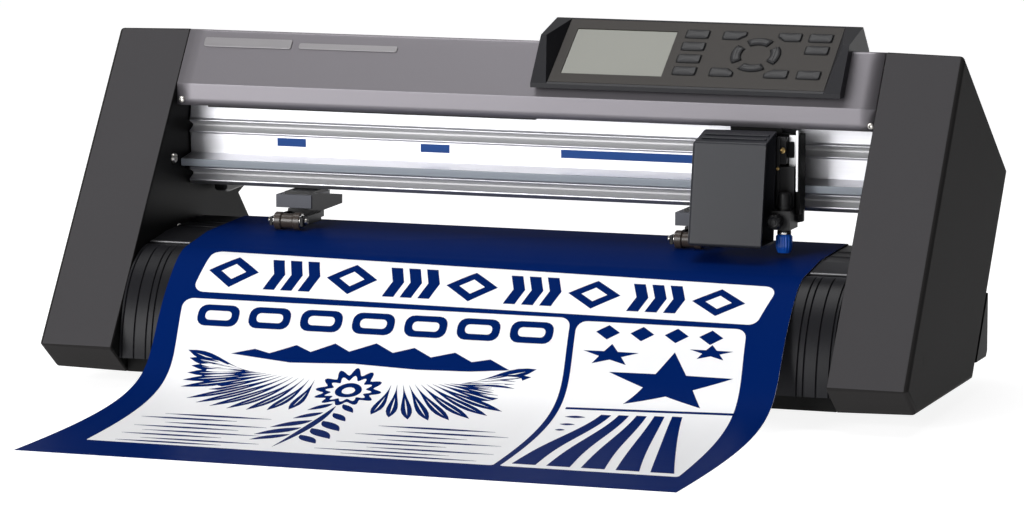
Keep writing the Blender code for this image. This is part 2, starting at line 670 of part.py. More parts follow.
def sheet_path():
    """The sheet's lower side, from its tail behind the platen to its front edge on the floor."""
    lift = SHEET_LIFT
    centre = (PLATEN_REAR[0], PLATEN_REAR[1] - 9.0)
    radius = 9.0 + lift
    path = [(centre[0] + radius, centre[1] - TAIL_LENGTH)]
    for i in range(4, -1, -1):
        angle = math.radians(22.5 * i)
        path.append((centre[0] + radius * math.sin(angle), centre[1] + radius * math.cos(angle)))
    path.append((PLATEN_BEND[0], PLATEN_BEND[1] + lift))
    path.append((PLATEN_FRONT[0], PLATEN_FRONT[1] + lift))
    steps = 8
    path += [apron_point(DRAPE_LEAVE * (i + 1) / steps, lift) for i in range(steps)]
    start = Vector(path[-1])
    heading = Vector((-math.cos(DRAPE_LEAVE) * APRON_RADII[0], -math.sin(DRAPE_LEAVE) * APRON_RADII[1])).normalized()
    end = Vector((-412.0, FLOOR_CLEAR))
    first = start + heading * 105.3
    second = end + Vector((297.3, 0.0))
    for i in range(1, 21):
        t = i / 20
        point = (start * (1 - t) ** 3 + first * 3 * t * (1 - t) ** 2
                 + second * 3 * t * t * (1 - t) + end * t ** 3)
        path.append((point.x, point.y))
    path.append((SHEET_FRONT_Y, FLOOR_CLEAR))
    return path


def media_sheet():
    """The loaded sheet as one thin closed solid."""
    strip("media_sheet", sheet_path(), SHEET_HALF, SHEET_THICK, "vinyl")


def build():
    side_cover(-1, "left_side_cover")
    side_cover(1, "right_side_cover")
    side_frame(-1, "left_side_frame")
    side_frame(1, "right_side_frame")
    top_cover()
    base_tray()
    front_apron()
    platen()
    finish("cutting_mat", mat_mesh(4.3, 0.7, 0.2, 242.6), "mat")
    feet()
    rail()
    flex_cable()
    panel_housing()
    panel_face()
    keys()
    display()
    electronics()
    feed_drive()
    belt_drive()
    connectors()
    carriage_frame()
    carriage_cover()
    guide_wheel(185.0, GROOVE_Z[0])
    tool()
    for side, middle in zip(("left", "right"), PINCH_X):
        pinch_unit(side, middle)
    lift_gear()
    media_sheet()


build()
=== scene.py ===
"""Looks of the desktop vinyl cutter, piece by piece in the order it is put together.

Shapes are worked out in millimetres in the machine's own frame, X to the right, Y to the back and Z up,
with Y = 0 just behind the rail's front face, and place() turns them into the frame's metres."""

import math

import bmesh
import bpy
import numpy as np
from mathutils import Matrix, Vector


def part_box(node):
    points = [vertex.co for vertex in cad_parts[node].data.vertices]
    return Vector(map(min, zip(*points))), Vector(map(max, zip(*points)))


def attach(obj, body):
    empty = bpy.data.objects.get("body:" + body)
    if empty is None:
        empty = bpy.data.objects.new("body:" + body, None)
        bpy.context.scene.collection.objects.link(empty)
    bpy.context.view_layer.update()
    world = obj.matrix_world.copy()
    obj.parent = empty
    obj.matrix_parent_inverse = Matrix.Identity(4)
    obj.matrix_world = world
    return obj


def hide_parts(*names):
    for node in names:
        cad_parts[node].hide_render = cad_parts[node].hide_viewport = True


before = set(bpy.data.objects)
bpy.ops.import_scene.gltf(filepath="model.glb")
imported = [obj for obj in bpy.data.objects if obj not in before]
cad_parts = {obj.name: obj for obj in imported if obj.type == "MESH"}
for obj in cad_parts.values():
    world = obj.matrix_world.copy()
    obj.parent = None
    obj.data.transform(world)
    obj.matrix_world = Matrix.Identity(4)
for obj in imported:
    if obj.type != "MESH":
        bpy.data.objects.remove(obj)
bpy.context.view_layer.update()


# ------------------------------------------------------------------ frame, camera and studio
# The machine's zero lies 28 mm in front of the rail's back face. The camera looks down a little from the
# right with a long lens, at a pale floor under large soft lights.

MM = 0.001
RAIL_LOW, RAIL_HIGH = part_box("y_rail")
ZERO_Y = RAIL_HIGH.y - 28.0 * MM
HALF_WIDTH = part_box("right_side_cover")[1].x / MM
INNER_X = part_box("right_side_cover")[0].x / MM
CAMERA_PLACE = (1196.6, -3554.6, 612.6)
CAMERA_AZIMUTH, CAMERA_ELEVATION, CAMERA_ROLL = 18.849, 7.835, 0.125
CAMERA_LENS = 175.2


def place(points):
    """Machine millimetres to the frame's metres: scaled by 0.001, then moved along Y to the rail's zero."""
    return np.asarray(points, float) * MM + np.array((0.0, ZERO_Y, 0.0))


def make_camera():
    """Forward is (-sin a cos e, cos a cos e, -sin e), right is (cos a, sin a, 0), then a small roll about forward."""
    a, e, r = (math.radians(v) for v in (CAMERA_AZIMUTH, CAMERA_ELEVATION, CAMERA_ROLL))
    forward = Vector((-math.sin(a) * math.cos(e), math.cos(a) * math.cos(e), -math.sin(e)))
    right = Vector((math.cos(a), math.sin(a), 0.0))
    up = right.cross(forward)
    turned_right = right * math.cos(r) + up * math.sin(r)
    turned_up = up * math.cos(r) - right * math.sin(r)
    data = bpy.data.cameras.new("camera")
    data.lens = CAMERA_LENS
    data.sensor_width = 36.0
    data.clip_end = 50.0
    camera = bpy.data.objects.new("camera", data)
    bpy.context.scene.collection.objects.link(camera)
    turn = Matrix((turned_right, turned_up, -forward)).transposed().to_4x4()
    camera.matrix_world = Matrix.Translation(Vector(place(CAMERA_PLACE))) @ turn
    bpy.context.scene.camera = camera


def soft_light(name, spot, target, size, power):
    """A square area light at a place in metres, turned towards a target."""
    data = bpy.data.lights.new(name, "AREA")
    data.size, data.energy = size, power
    light = bpy.data.objects.new(name, data)
    light.location = spot
    light.rotation_euler = (Vector(target) - Vector(spot)).to_track_quat("-Z", "Y").to_euler()
    bpy.context.scene.collection.objects.link(light)


def feed(tree, node, inputs):
    """An input given as a socket is linked to it, and one given as a value is set."""
    for name, value in inputs.items():
        if isinstance(value, bpy.types.NodeSocket):
            tree.links.new(value, node.inputs[name])
        else:
            node.inputs[name].default_value = value


def node_of(tree, kind, inputs=None, **settings):
    """A new shader node of a kind, with its settings and its inputs."""
    node = tree.nodes.new(f"ShaderNode{kind}")
    for name, value in settings.items():
        setattr(node, name, value)
    feed(tree, node, inputs or {})
    return node


def sum_of(tree, operation, *values):
    """The socket that holds an arithmetic operation on two or three values."""
    return node_of(tree, "Math", dict(enumerate(values)), operation=operation).outputs[0]


def mapped(tree, value, to_min, to_max, from_min=0.0, from_max=1.0):
    """A value carried in a straight line, and held at the ends, from one range to another."""
    limits = {"From Min": from_min, "From Max": from_max, "To Min": to_min, "To Max": to_max}
    return node_of(tree, "MapRange", {"Value": value, **limits}).outputs[0]


def studio_world():
    """A soft room: bright in front and on the left, dim on the right and overhead, from the ray's own direction."""
    world = bpy.data.worlds.new("studio")
    world.use_nodes = True
    tree = world.node_tree
    parts = node_of(tree, "SeparateXYZ", {"Vector": node_of(tree, "TexCoord").outputs["Generated"]}).outputs
    across, height = mapped(tree, parts["X"], 0.85, 0.03, -0.7, 0.45), mapped(tree, parts["Z"], 1.0, 0.32, 0.0, 0.9)
    feed(tree, tree.nodes["Background"],
         {"Strength": sum_of(tree, "MULTIPLY", across, height), "Color": (1.0, 1.0, 1.0, 1.0)})
    bpy.context.scene.world = world


def pale_floor(reach=6.0):
    """A square under everything, a little lit by itself so that it stays white."""
    mesh = bpy.data.meshes.new("floor")
    mesh.from_pydata([(-reach, -reach, 0), (reach, -reach, 0), (reach, reach, 0), (-reach, reach, 0)], [],
                     [(0, 1, 2, 3)])
    finish = bpy.data.materials.new("pale_floor")
    finish.use_nodes = True
    tree = finish.node_tree
    feed(tree, tree.nodes["Principled BSDF"], {
        "Base Color": (0.40, 0.40, 0.405, 1.0), "Roughness": 0.85,
        "Emission Color": (1.0, 1.0, 1.0, 1.0), "Emission Strength": 0.88})
    mesh.materials.append(finish)
    floor = bpy.data.objects.new("floor", mesh)
    bpy.context.scene.collection.objects.link(floor)


make_camera()
bpy.context.scene.view_settings.view_transform = "Standard"
studio_world()
soft_light("key_light", (-1.5, -3.0, 0.9), (0.0, 0.0, 0.1), 1.5, 75.0)
soft_light("top_light", (-0.3, 0.2, 2.4), (0.0, 0.1, 0.1), 1.6, 34.0)
pale_floor()


# ------------------------------------------------------------------ side covers
# Two large mouldings in fine textured plastic, 59 mm wide and leaning back. Their fronts are given a lighter copy
# of the sides' black, as painted light where they face the lamps. They are open on the inner side, where a steel
# plate closes them, and their walls draw in a little outwards.

COVER_LEAN = math.radians(35.2)
COVER_CREST = (-7.5, 260.6)
COVER_FRONT, COVER_DEPTH, COVER_BASE = 278.5, 176.5, 11.5
COVER_DRAFT = 1.2
COVER_EDGE = 4.0


def surface_group(name, build, **values):
    """A shader node group with the named inputs. Its build function takes the group, its inputs and the Object
    coordinates, and returns the sockets of its colour, roughness and height."""
    group = bpy.data.node_groups.new(name, "ShaderNodeTree")
    for label, value in values.items():
        kind = "NodeSocketColor" if isinstance(value, tuple) else "NodeSocketFloat"
        group.interface.new_socket(name=label, in_out="INPUT", socket_type=kind).default_value = value
    for label, kind in (("Colour", "NodeSocketColor"), ("Roughness", "NodeSocketFloat"), ("Height", "NodeSocketFloat")):
        group.interface.new_socket(name=label, in_out="OUTPUT", socket_type=kind)
    given, spot = group.nodes.new("NodeGroupInput").outputs, node_of(group, "TexCoord").outputs["Object"]
    result = group.nodes.new("NodeGroupOutput")
    feed(group, result, dict(zip(("Colour", "Roughness", "Height"), build(group, given, spot))))
    return group


def noise(group, spot, scale, detail=2.0):
    """Smooth noise between 0 and 1, its cells about one metre over the scale."""
    return node_of(group, "TexNoise", {"Vector": spot, "Scale": scale, "Detail": detail}).outputs["Fac"]


def toned(group, colour, share):
    """A colour times a share."""
    return node_of(group, "VectorMath", {0: colour, "Scale": share}, operation="SCALE").outputs[0]


def moulded_surface(group, given, spot):
    """Moulded plastic or powder coat: fine grain in the height, and broad soft changes of colour and roughness."""
    mixed = sum_of(group, "MULTIPLY_ADD", noise(group, spot, 14.0, 3.0), 0.6,
                   sum_of(group, "MULTIPLY", noise(group, spot, 520.0), 0.4))
    strength = sum_of(group, "MULTIPLY", sum_of(group, "SUBTRACT", mixed, 0.5), given["Change"])
    tone = toned(group, given["Colour"], sum_of(group, "ADD", strength, 1.0))
    rough = sum_of(group, "MULTIPLY_ADD", strength, 0.35, given["Roughness"])
    return tone, rough, noise(group, spot, given["Grain"])


MOULDED_GRAIN = surface_group("moulded_grain", moulded_surface, Colour=(0.5, 0.5, 0.5, 1.0), Grain=1500.0, Change=0.12,
                              Roughness=0.5)


def grouped_material(name, group, values, bump, distance, metallic=0.0, coat=0.0, specular=0.5):
    """A Principled BSDF fed by a surface group, with the group's height as a bump."""
    made = bpy.data.materials.new(name)
    made.use_nodes = True
    tree = made.node_tree
    surface = node_of(tree, "Group", values, node_tree=group).outputs
    relief = node_of(tree, "Bump", {"Strength": bump, "Distance": distance, "Height": surface["Height"]})
    feed(tree, tree.nodes["Principled BSDF"], {
        "Metallic": metallic, "Coat Weight": coat, "Specular IOR Level": specular, "Base Color": surface["Colour"],
        "Roughness": surface["Roughness"], "Normal": relief.outputs["Normal"]})
    return made


def moulded(name, colour, roughness, grain=1500.0, change=0.12, bump=0.12, coat=0.0, metallic=0.0, specular=0.5):
    """A plastic, a coating or a machined metal with the moulded grain."""
    values = {"Colour": (*colour, 1.0), "Grain": grain, "Change": change, "Roughness": roughness}
    return grouped_material(name, MOULDED_GRAIN, values, bump, 0.0003, metallic, coat, specular)


def settle_normals(mesh, sharp):
    """Corner normals: at each corner, the sum of area times normal over the faces round its vertex that lie within
    the sharp angle of its own face, so wide flat faces stay flat beside small rounded edges."""
    corners, count = len(mesh.loops), len(mesh.polygons)
    vertex, start, total = np.empty(corners, int), np.empty(count, int), np.empty(count, int)
    normal, area = np.empty(count * 3), np.empty(count)
    mesh.loops.foreach_get("vertex_index", vertex)
    mesh.polygons.foreach_get("loop_start", start)
    mesh.polygons.foreach_get("loop_total", total)
    mesh.polygons.foreach_get("normal", normal)
    mesh.polygons.foreach_get("area", area)
    normal = normal.reshape(-1, 3)
    face = np.repeat(np.arange(count), total)
    order = np.argsort(vertex, kind="stable")
    sizes = np.bincount(vertex, minlength=len(mesh.vertices))
    first = np.concatenate(([0], np.cumsum(sizes)[:-1]))
    reach_count = sizes[vertex]
    own = np.repeat(np.arange(corners), reach_count)
    step = np.arange(len(own)) - np.repeat(np.cumsum(reach_count) - reach_count, reach_count)
    other = face[order[first[vertex[own]] + step]]
    near = np.sum(normal[face[own]] * normal[other], axis=1) > math.cos(math.radians(sharp))
    summed = np.zeros((corners, 3))
    np.add.at(summed, own[near], normal[other[near]] * area[other[near], None])
    summed /= np.maximum(np.linalg.norm(summed, axis=1), 1e-20)[:, None]
    mesh.normals_split_custom_set(summed.tolist())


def mounted(name, mesh, finish, body, sharp, node):
    """A finished mesh made an object that rides on a body, fills a slot and may stand for a built node."""
    mesh.materials.append(finish)
    mesh.shade_smooth()
    settle_normals(mesh, sharp)
    piece = bpy.data.objects.new(name, mesh)
    bpy.context.scene.collection.objects.link(piece)
    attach(piece, body)
    if node:
        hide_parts(node)
    return piece


def merged(points, faces, distance=1e-7, outwards=True):
    """A bmesh of points and faces with its doubles joined and, if asked, its faces turned outwards."""
    mesh = bpy.data.meshes.new("merged")
    mesh.from_pydata(np.asarray(points).tolist(), [], [tuple(face) for face in faces])
    bm = bmesh.new()
    bm.from_mesh(mesh)
    bpy.data.meshes.remove(mesh)
    bmesh.ops.remove_doubles(bm, verts=bm.verts, dist=distance)
    bmesh.ops.delete(bm, geom=[vert for vert in bm.verts if not vert.link_faces], context="VERTS")
    if outwards:
        bmesh.ops.recalc_face_normals(bm, faces=bm.faces)
    return bm


def filled_mesh(name, bm):
    """A new mesh with a bmesh's contents, and the bmesh freed."""
    mesh = bpy.data.meshes.new(name)
    bm.to_mesh(mesh)
    bm.free()
    return mesh


def add_piece(name, shape, finish, body, sharp=40.0, closed=True, node=None):
    """A piece from points in machine millimetres and faces, smooth up to the sharp angle."""
    points, faces = shape
    mesh = filled_mesh(name, merged(place(points), faces, outwards=closed))
    return mounted(name, mesh, finish, body, sharp, node)


def rounded_outline(corners, radii, inset=0.0, steps=5):
    """A polygon, anticlockwise, moved inwards by inset, with each corner an arc of its radius less the inset.
    An arc's centre lies on the corner's bisector, and its points turn from one side's normal to the next."""
    corners = np.asarray(corners, float)
    count = len(corners)
    before = corners - np.roll(corners, 1, axis=0)
    before /= np.linalg.norm(before, axis=1)[:, None]
    after = np.roll(before, -1, axis=0)
    normal_in, normal_out = (np.stack((d[:, 1], -d[:, 0]), 1) for d in (before, after))
    spread = 1.0 + np.sum(normal_in * normal_out, axis=1)
    bisector = (normal_in + normal_out) / spread[:, None]
    radius = np.broadcast_to(np.asarray(radii, float), (count,))
    core = corners - bisector * np.maximum(radius, inset)[:, None]
    start = np.arctan2(normal_in[:, 1], normal_in[:, 0])
    sweep = np.arctan2(before[:, 0] * after[:, 1] - before[:, 1] * after[:, 0], np.sum(before * after, axis=1))
    angle = start[:, None] + sweep[:, None] * np.linspace(0.0, 1.0, steps + 1)[None, :]
    kept = np.maximum(radius - inset, 0.0)[:, None]
    ring = core[:, None, :] + kept[:, :, None] * np.stack((np.cos(angle), np.sin(angle)), 2)
    return ring.reshape(-1, 2)


def level(flat, depth, axis):
    """A flat outline set at a depth along an axis: Y and Z along X, X and Z along Y, or X and Y along Z."""
    return np.insert(flat, "XYZ".index(axis), depth, axis=1)


def ring_faces(rings, count):
    """Quads between successive rings of a tube, each ring closed on itself."""
    i = np.arange(rings - 1)[:, None] * count
    j = np.arange(count)[None, :]
    k = (j + 1) % count
    return np.stack((i + j, i + count + j, i + count + k, i + k), 2).reshape(-1, 4).tolist()


def cover_outline(inset):
    """The leaning side profile: a rectangle turned back by the lean, cut off level at the base."""
    cos, sin = math.cos(COVER_LEAN), math.sin(COVER_LEAN)
    nose = (COVER_CREST[0] - COVER_FRONT * sin, COVER_CREST[1] - COVER_FRONT * cos)
    rear_top = (COVER_CREST[0] + COVER_DEPTH * cos, COVER_CREST[1] - COVER_DEPTH * sin)
    rear_low = (rear_top[0] - (rear_top[1] - COVER_BASE) * math.tan(COVER_LEAN), COVER_BASE)
    under = (nose[0] + (nose[1] - COVER_BASE) / math.tan(COVER_LEAN), COVER_BASE)
    return rounded_outline([nose, under, rear_low, rear_top, COVER_CREST], [2.5, 2.5, 2.5, 3.0, 3.0], inset, 5)


def capped_tube(rings):
    """Points and faces of successive rings, with a face over the first ring and one over the last."""
    total, count = len(rings), len(rings[0])
    ends = [list(range(count)), list(range((total - 1) * count, total * count))]
    return np.concatenate(rings), ring_faces(total, count) + ends


def open_shell(outline, x_open, x_closed, wall, edge, draft):
    """A shell that is open at x_open: rings run from the inner wall's closed end to the rim, round it, and out
    along the outer wall to a quarter-round outer edge. The outline draws in by draft over the length."""
    length = abs(x_closed - x_open)
    quarter = np.linspace(0.0, math.pi / 2, 7)
    along = [length - wall, 0.3, 0.0, 0.0, 0.3, *(length - edge + edge * np.sin(quarter))]
    inset = [wall + draft, wall, wall - 0.3, 0.3, 0.0,
             *(draft * (length - edge) / length + (edge + draft * edge / length) * (1.0 - np.cos(quarter)))]
    return capped_tube([level(outline(value), x_open + depth * (x_closed - x_open) / length, "X")
                        for depth, value in zip(along, inset)])


# One textured black in two copies: a darker one on the sides as painted shade, and a lighter one on the fronts as
# painted light where they face the lamps.
cover_finish = moulded("textured_black", (0.022, 0.021, 0.021), 0.5, grain=1900.0, bump=0.16, specular=0.01)
painted_lit_front_finish = moulded("textured_black_painted_lit_front", (0.056, 0.054, 0.057), 0.5, grain=1900.0, bump=0.16, specular=0.05)


def evaluated_mesh(holder):
    """A new mesh of what an object becomes with its modifiers, or of its filled curve."""
    bpy.context.view_layer.update()
    return bpy.data.meshes.new_from_object(holder.evaluated_get(bpy.context.evaluated_depsgraph_get()))


def carved(solid, cutter):
    """The first closed solid less the second, each given and returned as points and faces in millimetres."""
    holders = []
    for label, shape in (("solid", solid), ("cutter", cutter)):
        holders.append(bpy.data.objects.new(label, filled_mesh(label, merged(*shape, distance=1e-5))))
        bpy.context.scene.collection.objects.link(holders[-1])
    cut = holders[0].modifiers.new("cut", "BOOLEAN")
    cut.operation, cut.solver, cut.object = "DIFFERENCE", "EXACT", holders[1]
    made = evaluated_mesh(holders[0])
    result = np.array([vert.co[:] for vert in made.vertices]), [list(polygon.vertices) for polygon in made.polygons]
    for mesh in (made, *(holder.data for holder in holders)):
        bpy.data.meshes.remove(mesh)
    return result


FRONT_NORMAL = Vector((0.0, -math.cos(COVER_LEAN), math.sin(COVER_LEAN)))
NOTCH = [(80.0, 84.0), (140.0, 84.0), (140.0, 132.4), (114.0, 128.6), (91.0, 121.5), (80.0, 121.5)]
for side, name in ((-1, "left"), (1, "right")):
    shell = open_shell(cover_outline, side * INNER_X, side * HALF_WIDTH, 2.5, COVER_EDGE, COVER_DRAFT)
    notch = capped_tube([level(NOTCH, x, "X") for x in sorted((side * (INNER_X - 3.0), side * (INNER_X + 9.0)))])
    cover = add_piece(f"{name}_cover_shell", carved(shell, notch), cover_finish, "machine", 30.0,
                      node=f"{name}_side_cover")
    cover.data.materials.append(painted_lit_front_finish)
    # Faces turned to the front take the lighter copy: painted light on the fronts.
    for polygon in cover.data.polygons:
        polygon.material_index = int(polygon.normal.dot(FRONT_NORMAL) > 0.93)


# ------------------------------------------------------------------ side frames, screws and slots
# Black coated steel plates close the covers. Pan head screws hold them, and two narrow slots in the right
# cover's outer wall take a screwdriver to the fixings behind it.

black_steel = moulded("black_coated_steel", (0.006, 0.006, 0.006), 0.5, grain=2600.0, bump=0.08, specular=0.06)
screw_steel = moulded("plated_screw", (0.62, 0.6, 0.56), 0.3, grain=3000.0, change=0.3, bump=0.05, metallic=1.0)
AXES = {"X": ((0, 1, 0), (0, 0, 1), (1, 0, 0)), "Y": ((0, 0, 1), (1, 0, 0), (0, 1, 0)),
        "Z": ((1, 0, 0), (0, 1, 0), (0, 0, 1))}


def turned(profile, centre, axis, steps=32, flutes=0, depth=0.0):
    """Rings of a profile of (radius, height) turned about an axis through a centre. With flutes, the radius dips by
    depth times a power of the cosine once for each flute, as far as the profile's third value, 0 or 1, says."""
    profile = np.asarray(profile, float)
    first, second, along = (np.array(v, float) for v in AXES[axis])
    angle = np.linspace(0.0, 2.0 * math.pi, steps, endpoint=False)
    spoke = np.cos(angle)[:, None] * first + np.sin(angle)[:, None] * second
    radius = np.broadcast_to(profile[:, 0][:, None], (len(profile), steps))
    if flutes:
        dip = depth * (0.5 + 0.5 * np.cos(flutes * angle)) ** 3
        radius = np.maximum(radius - dip[None, :] * profile[:, 2][:, None], 0.0)
    rings = radius[:, :, None] * spoke[None] + profile[:, 1][:, None, None] * along
    return (rings + np.asarray(centre, float)).reshape(-1, 3), ring_faces(len(profile), steps)


def turned_piece(name, profile, centre, axis, finish, body, steps=32, node=None):
    """A piece turned about an axis, smooth up to 35 degrees."""
    return add_piece(name, turned(profile, centre, axis, steps), finish, body, 35.0, node=node)


def screw(name, centre, axis, radius, body, finish=None, out=1.0):
    """A pan head with a hexagon-like socket: a dome that falls to a flat and dips in the middle."""
    dome = [(0.0, 0.1), (0.34, 0.1), (0.40, 0.42), (0.55, 0.5), (0.8, 0.42), (0.95, 0.22), (1.0, -0.2), (0.0, -0.2)]
    profile = [(r * radius, h * radius * out) for r, h in dome]
    turned_piece(name, profile, centre, axis, finish or screw_steel, body, steps=18)


inner_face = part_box("left_side_frame")[1].x / MM
FRAME_SCREWS = ((-41.8, 162.7, 4.2), (-32.9, 108.2, 3.0), (-120.0, 60.0, 3.0), (60.0, 150.0, 3.0))
for number, (y, z, radius) in enumerate(FRAME_SCREWS):
    for side, out in (("left", 1.0), ("right", -1.0)):
        screw(f"{side}_frame_screw_{number}", (out * (inner_face + 0.2), y, z), "X", radius, "machine", out=out)


def block_shape(corners, radii, low, high, edge, axis="X", steps=4):
    """An outline carried along an axis from low to high, with both ends rounded over by edge."""
    quarter = np.linspace(0.0, math.pi / 2, 4)
    along = np.concatenate((low + edge * (1.0 - np.cos(quarter)), high - edge * (1.0 - np.cos(quarter[::-1]))))
    inset = np.concatenate((edge * (1.0 - np.sin(quarter)), edge * (1.0 - np.sin(quarter[::-1]))))
    return capped_tube([level(rounded_outline(corners, radii, value, steps), depth, axis)
                        for depth, value in zip(along, inset)])


def block(name, corners, radii, low, high, edge, finish, body, slot, axis="X", steps=4, node=None):
    """A piece with an outline carried along an axis, smooth up to 32 degrees."""
    shape = block_shape(corners, radii, low, high, edge, axis, steps)
    return add_piece(name, shape, finish, body, 32.0, node=node)


def rectangle(a0, a1, b0, b1):
    """Four corners, anticlockwise from the lower left."""
    return [(a0, b0), (a1, b0), (a1, b1), (a0, b1)]


# A dead black for painted shadow: the cover's slots, the gaps round the keys and the slide's window are thin dark
# blocks in place of their shaded openings.
painted_shadow_black = moulded("slot_shadow", (0.004, 0.004, 0.004), 0.9)
for number, (y, z0, z1) in enumerate(((47.5, 194.0, 203.0), (-119.0, 45.0, 53.0))):
    block(f"cover_slot_{number}", rectangle(y - 1.0, y + 1.0, z0, z1), 0.9, HALF_WIDTH - 1.2, HALF_WIDTH + 0.04, 0.0,
          painted_shadow_black, "machine", "black_plastic")


# ------------------------------------------------------------------ base tray, feet, platen and apron
# A folded steel tray on four rubber feet carries the platen. The apron in front of it is an elliptic moulding
# with upright ribs at its two ends, beside the sheet.

matt_black = moulded("matt_black_plastic", (0.010, 0.010, 0.011), 0.42, grain=1700.0, bump=0.14, specular=0.3)
ribbed_black = moulded("apron_black", (0.012, 0.012, 0.014), 0.36, grain=1700.0, bump=0.1, specular=0.12)
rubber = moulded("black_rubber", (0.018, 0.018, 0.018), 0.8, grain=900.0, bump=0.2)
APRON_CENTRE, APRON_RADII = (-95.0, 24.0), (57.0, 79.5)
GROOVES = (250.4, 255.2, 264.8, 274.4)


def apron_surface(x_low, x_high):
    """Points over (x, angle): a quarter ellipse, 0 at the top and 90 degrees at the front, pushed in where an upright
    groove runs and out by a soft rib between grooves. The outer wall is followed by the inner one, 2.2 mm behind."""
    near = np.array([g * s + d for g in GROOVES for s in (-1, 1) for d in (-0.7, -0.35, 0.0, 0.35, 0.7)])
    x = np.unique(np.concatenate((np.linspace(x_low, x_high, 24), near[(near > x_low) & (near < x_high)])))
    angle = np.radians(np.linspace(0.0, 90.0, 28))
    groove = np.zeros_like(x)
    for g in GROOVES:
        groove = np.maximum(groove, np.clip(1.0 - np.abs(np.abs(x) - g) / 0.7, 0.0, 1.0))
    fade = np.clip(np.sin(angle) * 4.0, 0.0, 1.0)
    out = -1.1 * groove[:, None] * fade[None, :]
    layers = []
    for depth in (0.0, -2.2):
        y = APRON_CENTRE[0] - (APRON_RADII[0] + out + depth) * np.sin(angle)
        z = APRON_CENTRE[1] + (APRON_RADII[1] + out + depth) * np.cos(angle)
        layers.append(np.stack((np.broadcast_to(x[:, None], y.shape), y, z), 2))
    return layers


def grid_faces(rows, columns):
    """Quads of a grid whose points run along each row in turn."""
    i, j = np.arange(rows - 1)[:, None] * columns, np.arange(columns - 1)[None, :]
    return np.stack((i + j, i + columns + j, i + columns + j + 1, i + j + 1), 2).reshape(-1, 4)


def closed_sheet(layers):
    """Two layers of one grid, outer and inner, joined round their rims into a closed thin solid."""
    rows, columns = layers[0].shape[:2]
    quads, size = grid_faces(rows, columns), rows * columns
    rim = np.concatenate((np.arange(columns), np.arange(1, rows) * columns + columns - 1,
                          (rows - 1) * columns + np.arange(columns - 2, -1, -1), np.arange(rows - 2, 0, -1) * columns))
    after = np.roll(rim, -1)
    walls = np.stack((rim, after, after + size, rim + size), 1)
    return np.concatenate([layer.reshape(-1, 3) for layer in layers]), [*quads, *(quads[:, ::-1] + size), *walls]


APRON_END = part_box("front_apron")[1].x / MM
add_piece("apron_shell", closed_sheet(apron_surface(-APRON_END, APRON_END)), ribbed_black, "machine",
          25.0, node="front_apron")

PLATEN_FRONT, PLATEN_BEND, PLATEN_REAR = (-92.5, 104.2), (-60.0, 109.0), (16.0, 111.6)
bead_grey = moulded("bead_grey", (0.16, 0.16, 0.165), 0.35, grain=1700.0, bump=0.05, metallic=0.6)
for side, name in ((-1, "left"), (1, "right")):
    x0, x1 = sorted((side * 243.5, side * (APRON_END - 0.4)))
    for number, (y, rise) in enumerate(((-90.5, 0.8), (-36.0, 0.7), (-15.0, 0.7))):
        z = float(np.interp(y, *zip(PLATEN_FRONT, PLATEN_BEND, PLATEN_REAR)))
        bead = rectangle(y - 1.3, y + 1.3, z - 0.6, z + rise)
        block(f"platen_bead_{name}_{number}", bead, 0.6, x0, x1, 0.4, ribbed_black if number else bead_grey, "machine",
              "steel")


# ------------------------------------------------------------------ rail
# One long aluminium extrusion, drawn and anodised, with a V groove for the guide wheels above and another below
# a ledge that stands forward. Three blue position marks are printed on its face.

def drawn_surface(group, given, spot):
    """Drawn aluminium: fine streaks along X in the height, roughness and colour, with broad changes across them."""
    stretched = node_of(group, "Mapping", {"Vector": spot, "Scale": (0.012, 1.0, 1.0)}).outputs["Vector"]
    streak = noise(group, stretched, given["Streak"], 4.0)
    rough = sum_of(group, "MULTIPLY_ADD", streak, 0.18, given["Roughness"])
    return toned(group, given["Colour"], mapped(group, streak, 0.92, 1.06)), rough, streak


DRAWN_METAL = surface_group("drawn_metal", drawn_surface, Colour=(0.8, 0.8, 0.82, 1.0), Roughness=0.3, Streak=900.0)


def drawn(name, colour, roughness, bump=0.08, streak=900.0, metallic=1.0):
    """A metal drawn or brushed along X."""
    values = {"Colour": (*colour, 1.0), "Roughness": roughness, "Streak": streak}
    return grouped_material(name, DRAWN_METAL, values, bump, 0.0002, metallic)


# The grooves take a flatter, less metallic copy of the anodised finish and the ledge's front a darker blue-grey copy:
# painted shade on what is one finish.
rail_finish = drawn("anodised_rail", (0.64, 0.64, 0.67), 0.28, bump=0.02, streak=500.0, metallic=0.85)
painted_shade_groove_finish = drawn("rail_groove_painted_shade", (0.62, 0.62, 0.63), 0.4, bump=0.02, streak=500.0, metallic=0.3)
painted_shade_ledge_finish = drawn("rail_ledge_painted_shade", (0.30, 0.33, 0.37), 0.4, bump=0.02, streak=500.0, metallic=0.3)
RAIL_END = RAIL_HIGH.x / MM
RAIL_TOP, RAIL_BOTTOM = RAIL_HIGH.z / MM, RAIL_LOW.z / MM
FACE_Y, RIDGE_Y, FLOOR_Y = -9.0, -12.0, -4.5
UPPER_GROOVE, LOWER_GROOVE = 184.8, 147.3


def groove_corners(z):
    """A V groove between two small ridges, listed downwards, with the radius of each corner."""
    return [((FACE_Y, z + 6.0), 0.3), ((RIDGE_Y, z + 5.1), 0.9), ((RIDGE_Y, z + 3.9), 0.7), ((FLOOR_Y, z + 0.6), 0.3),
            ((FLOOR_Y, z - 0.6), 0.3), ((RIDGE_Y, z - 3.9), 0.7), ((RIDGE_Y, z - 5.1), 0.9)]


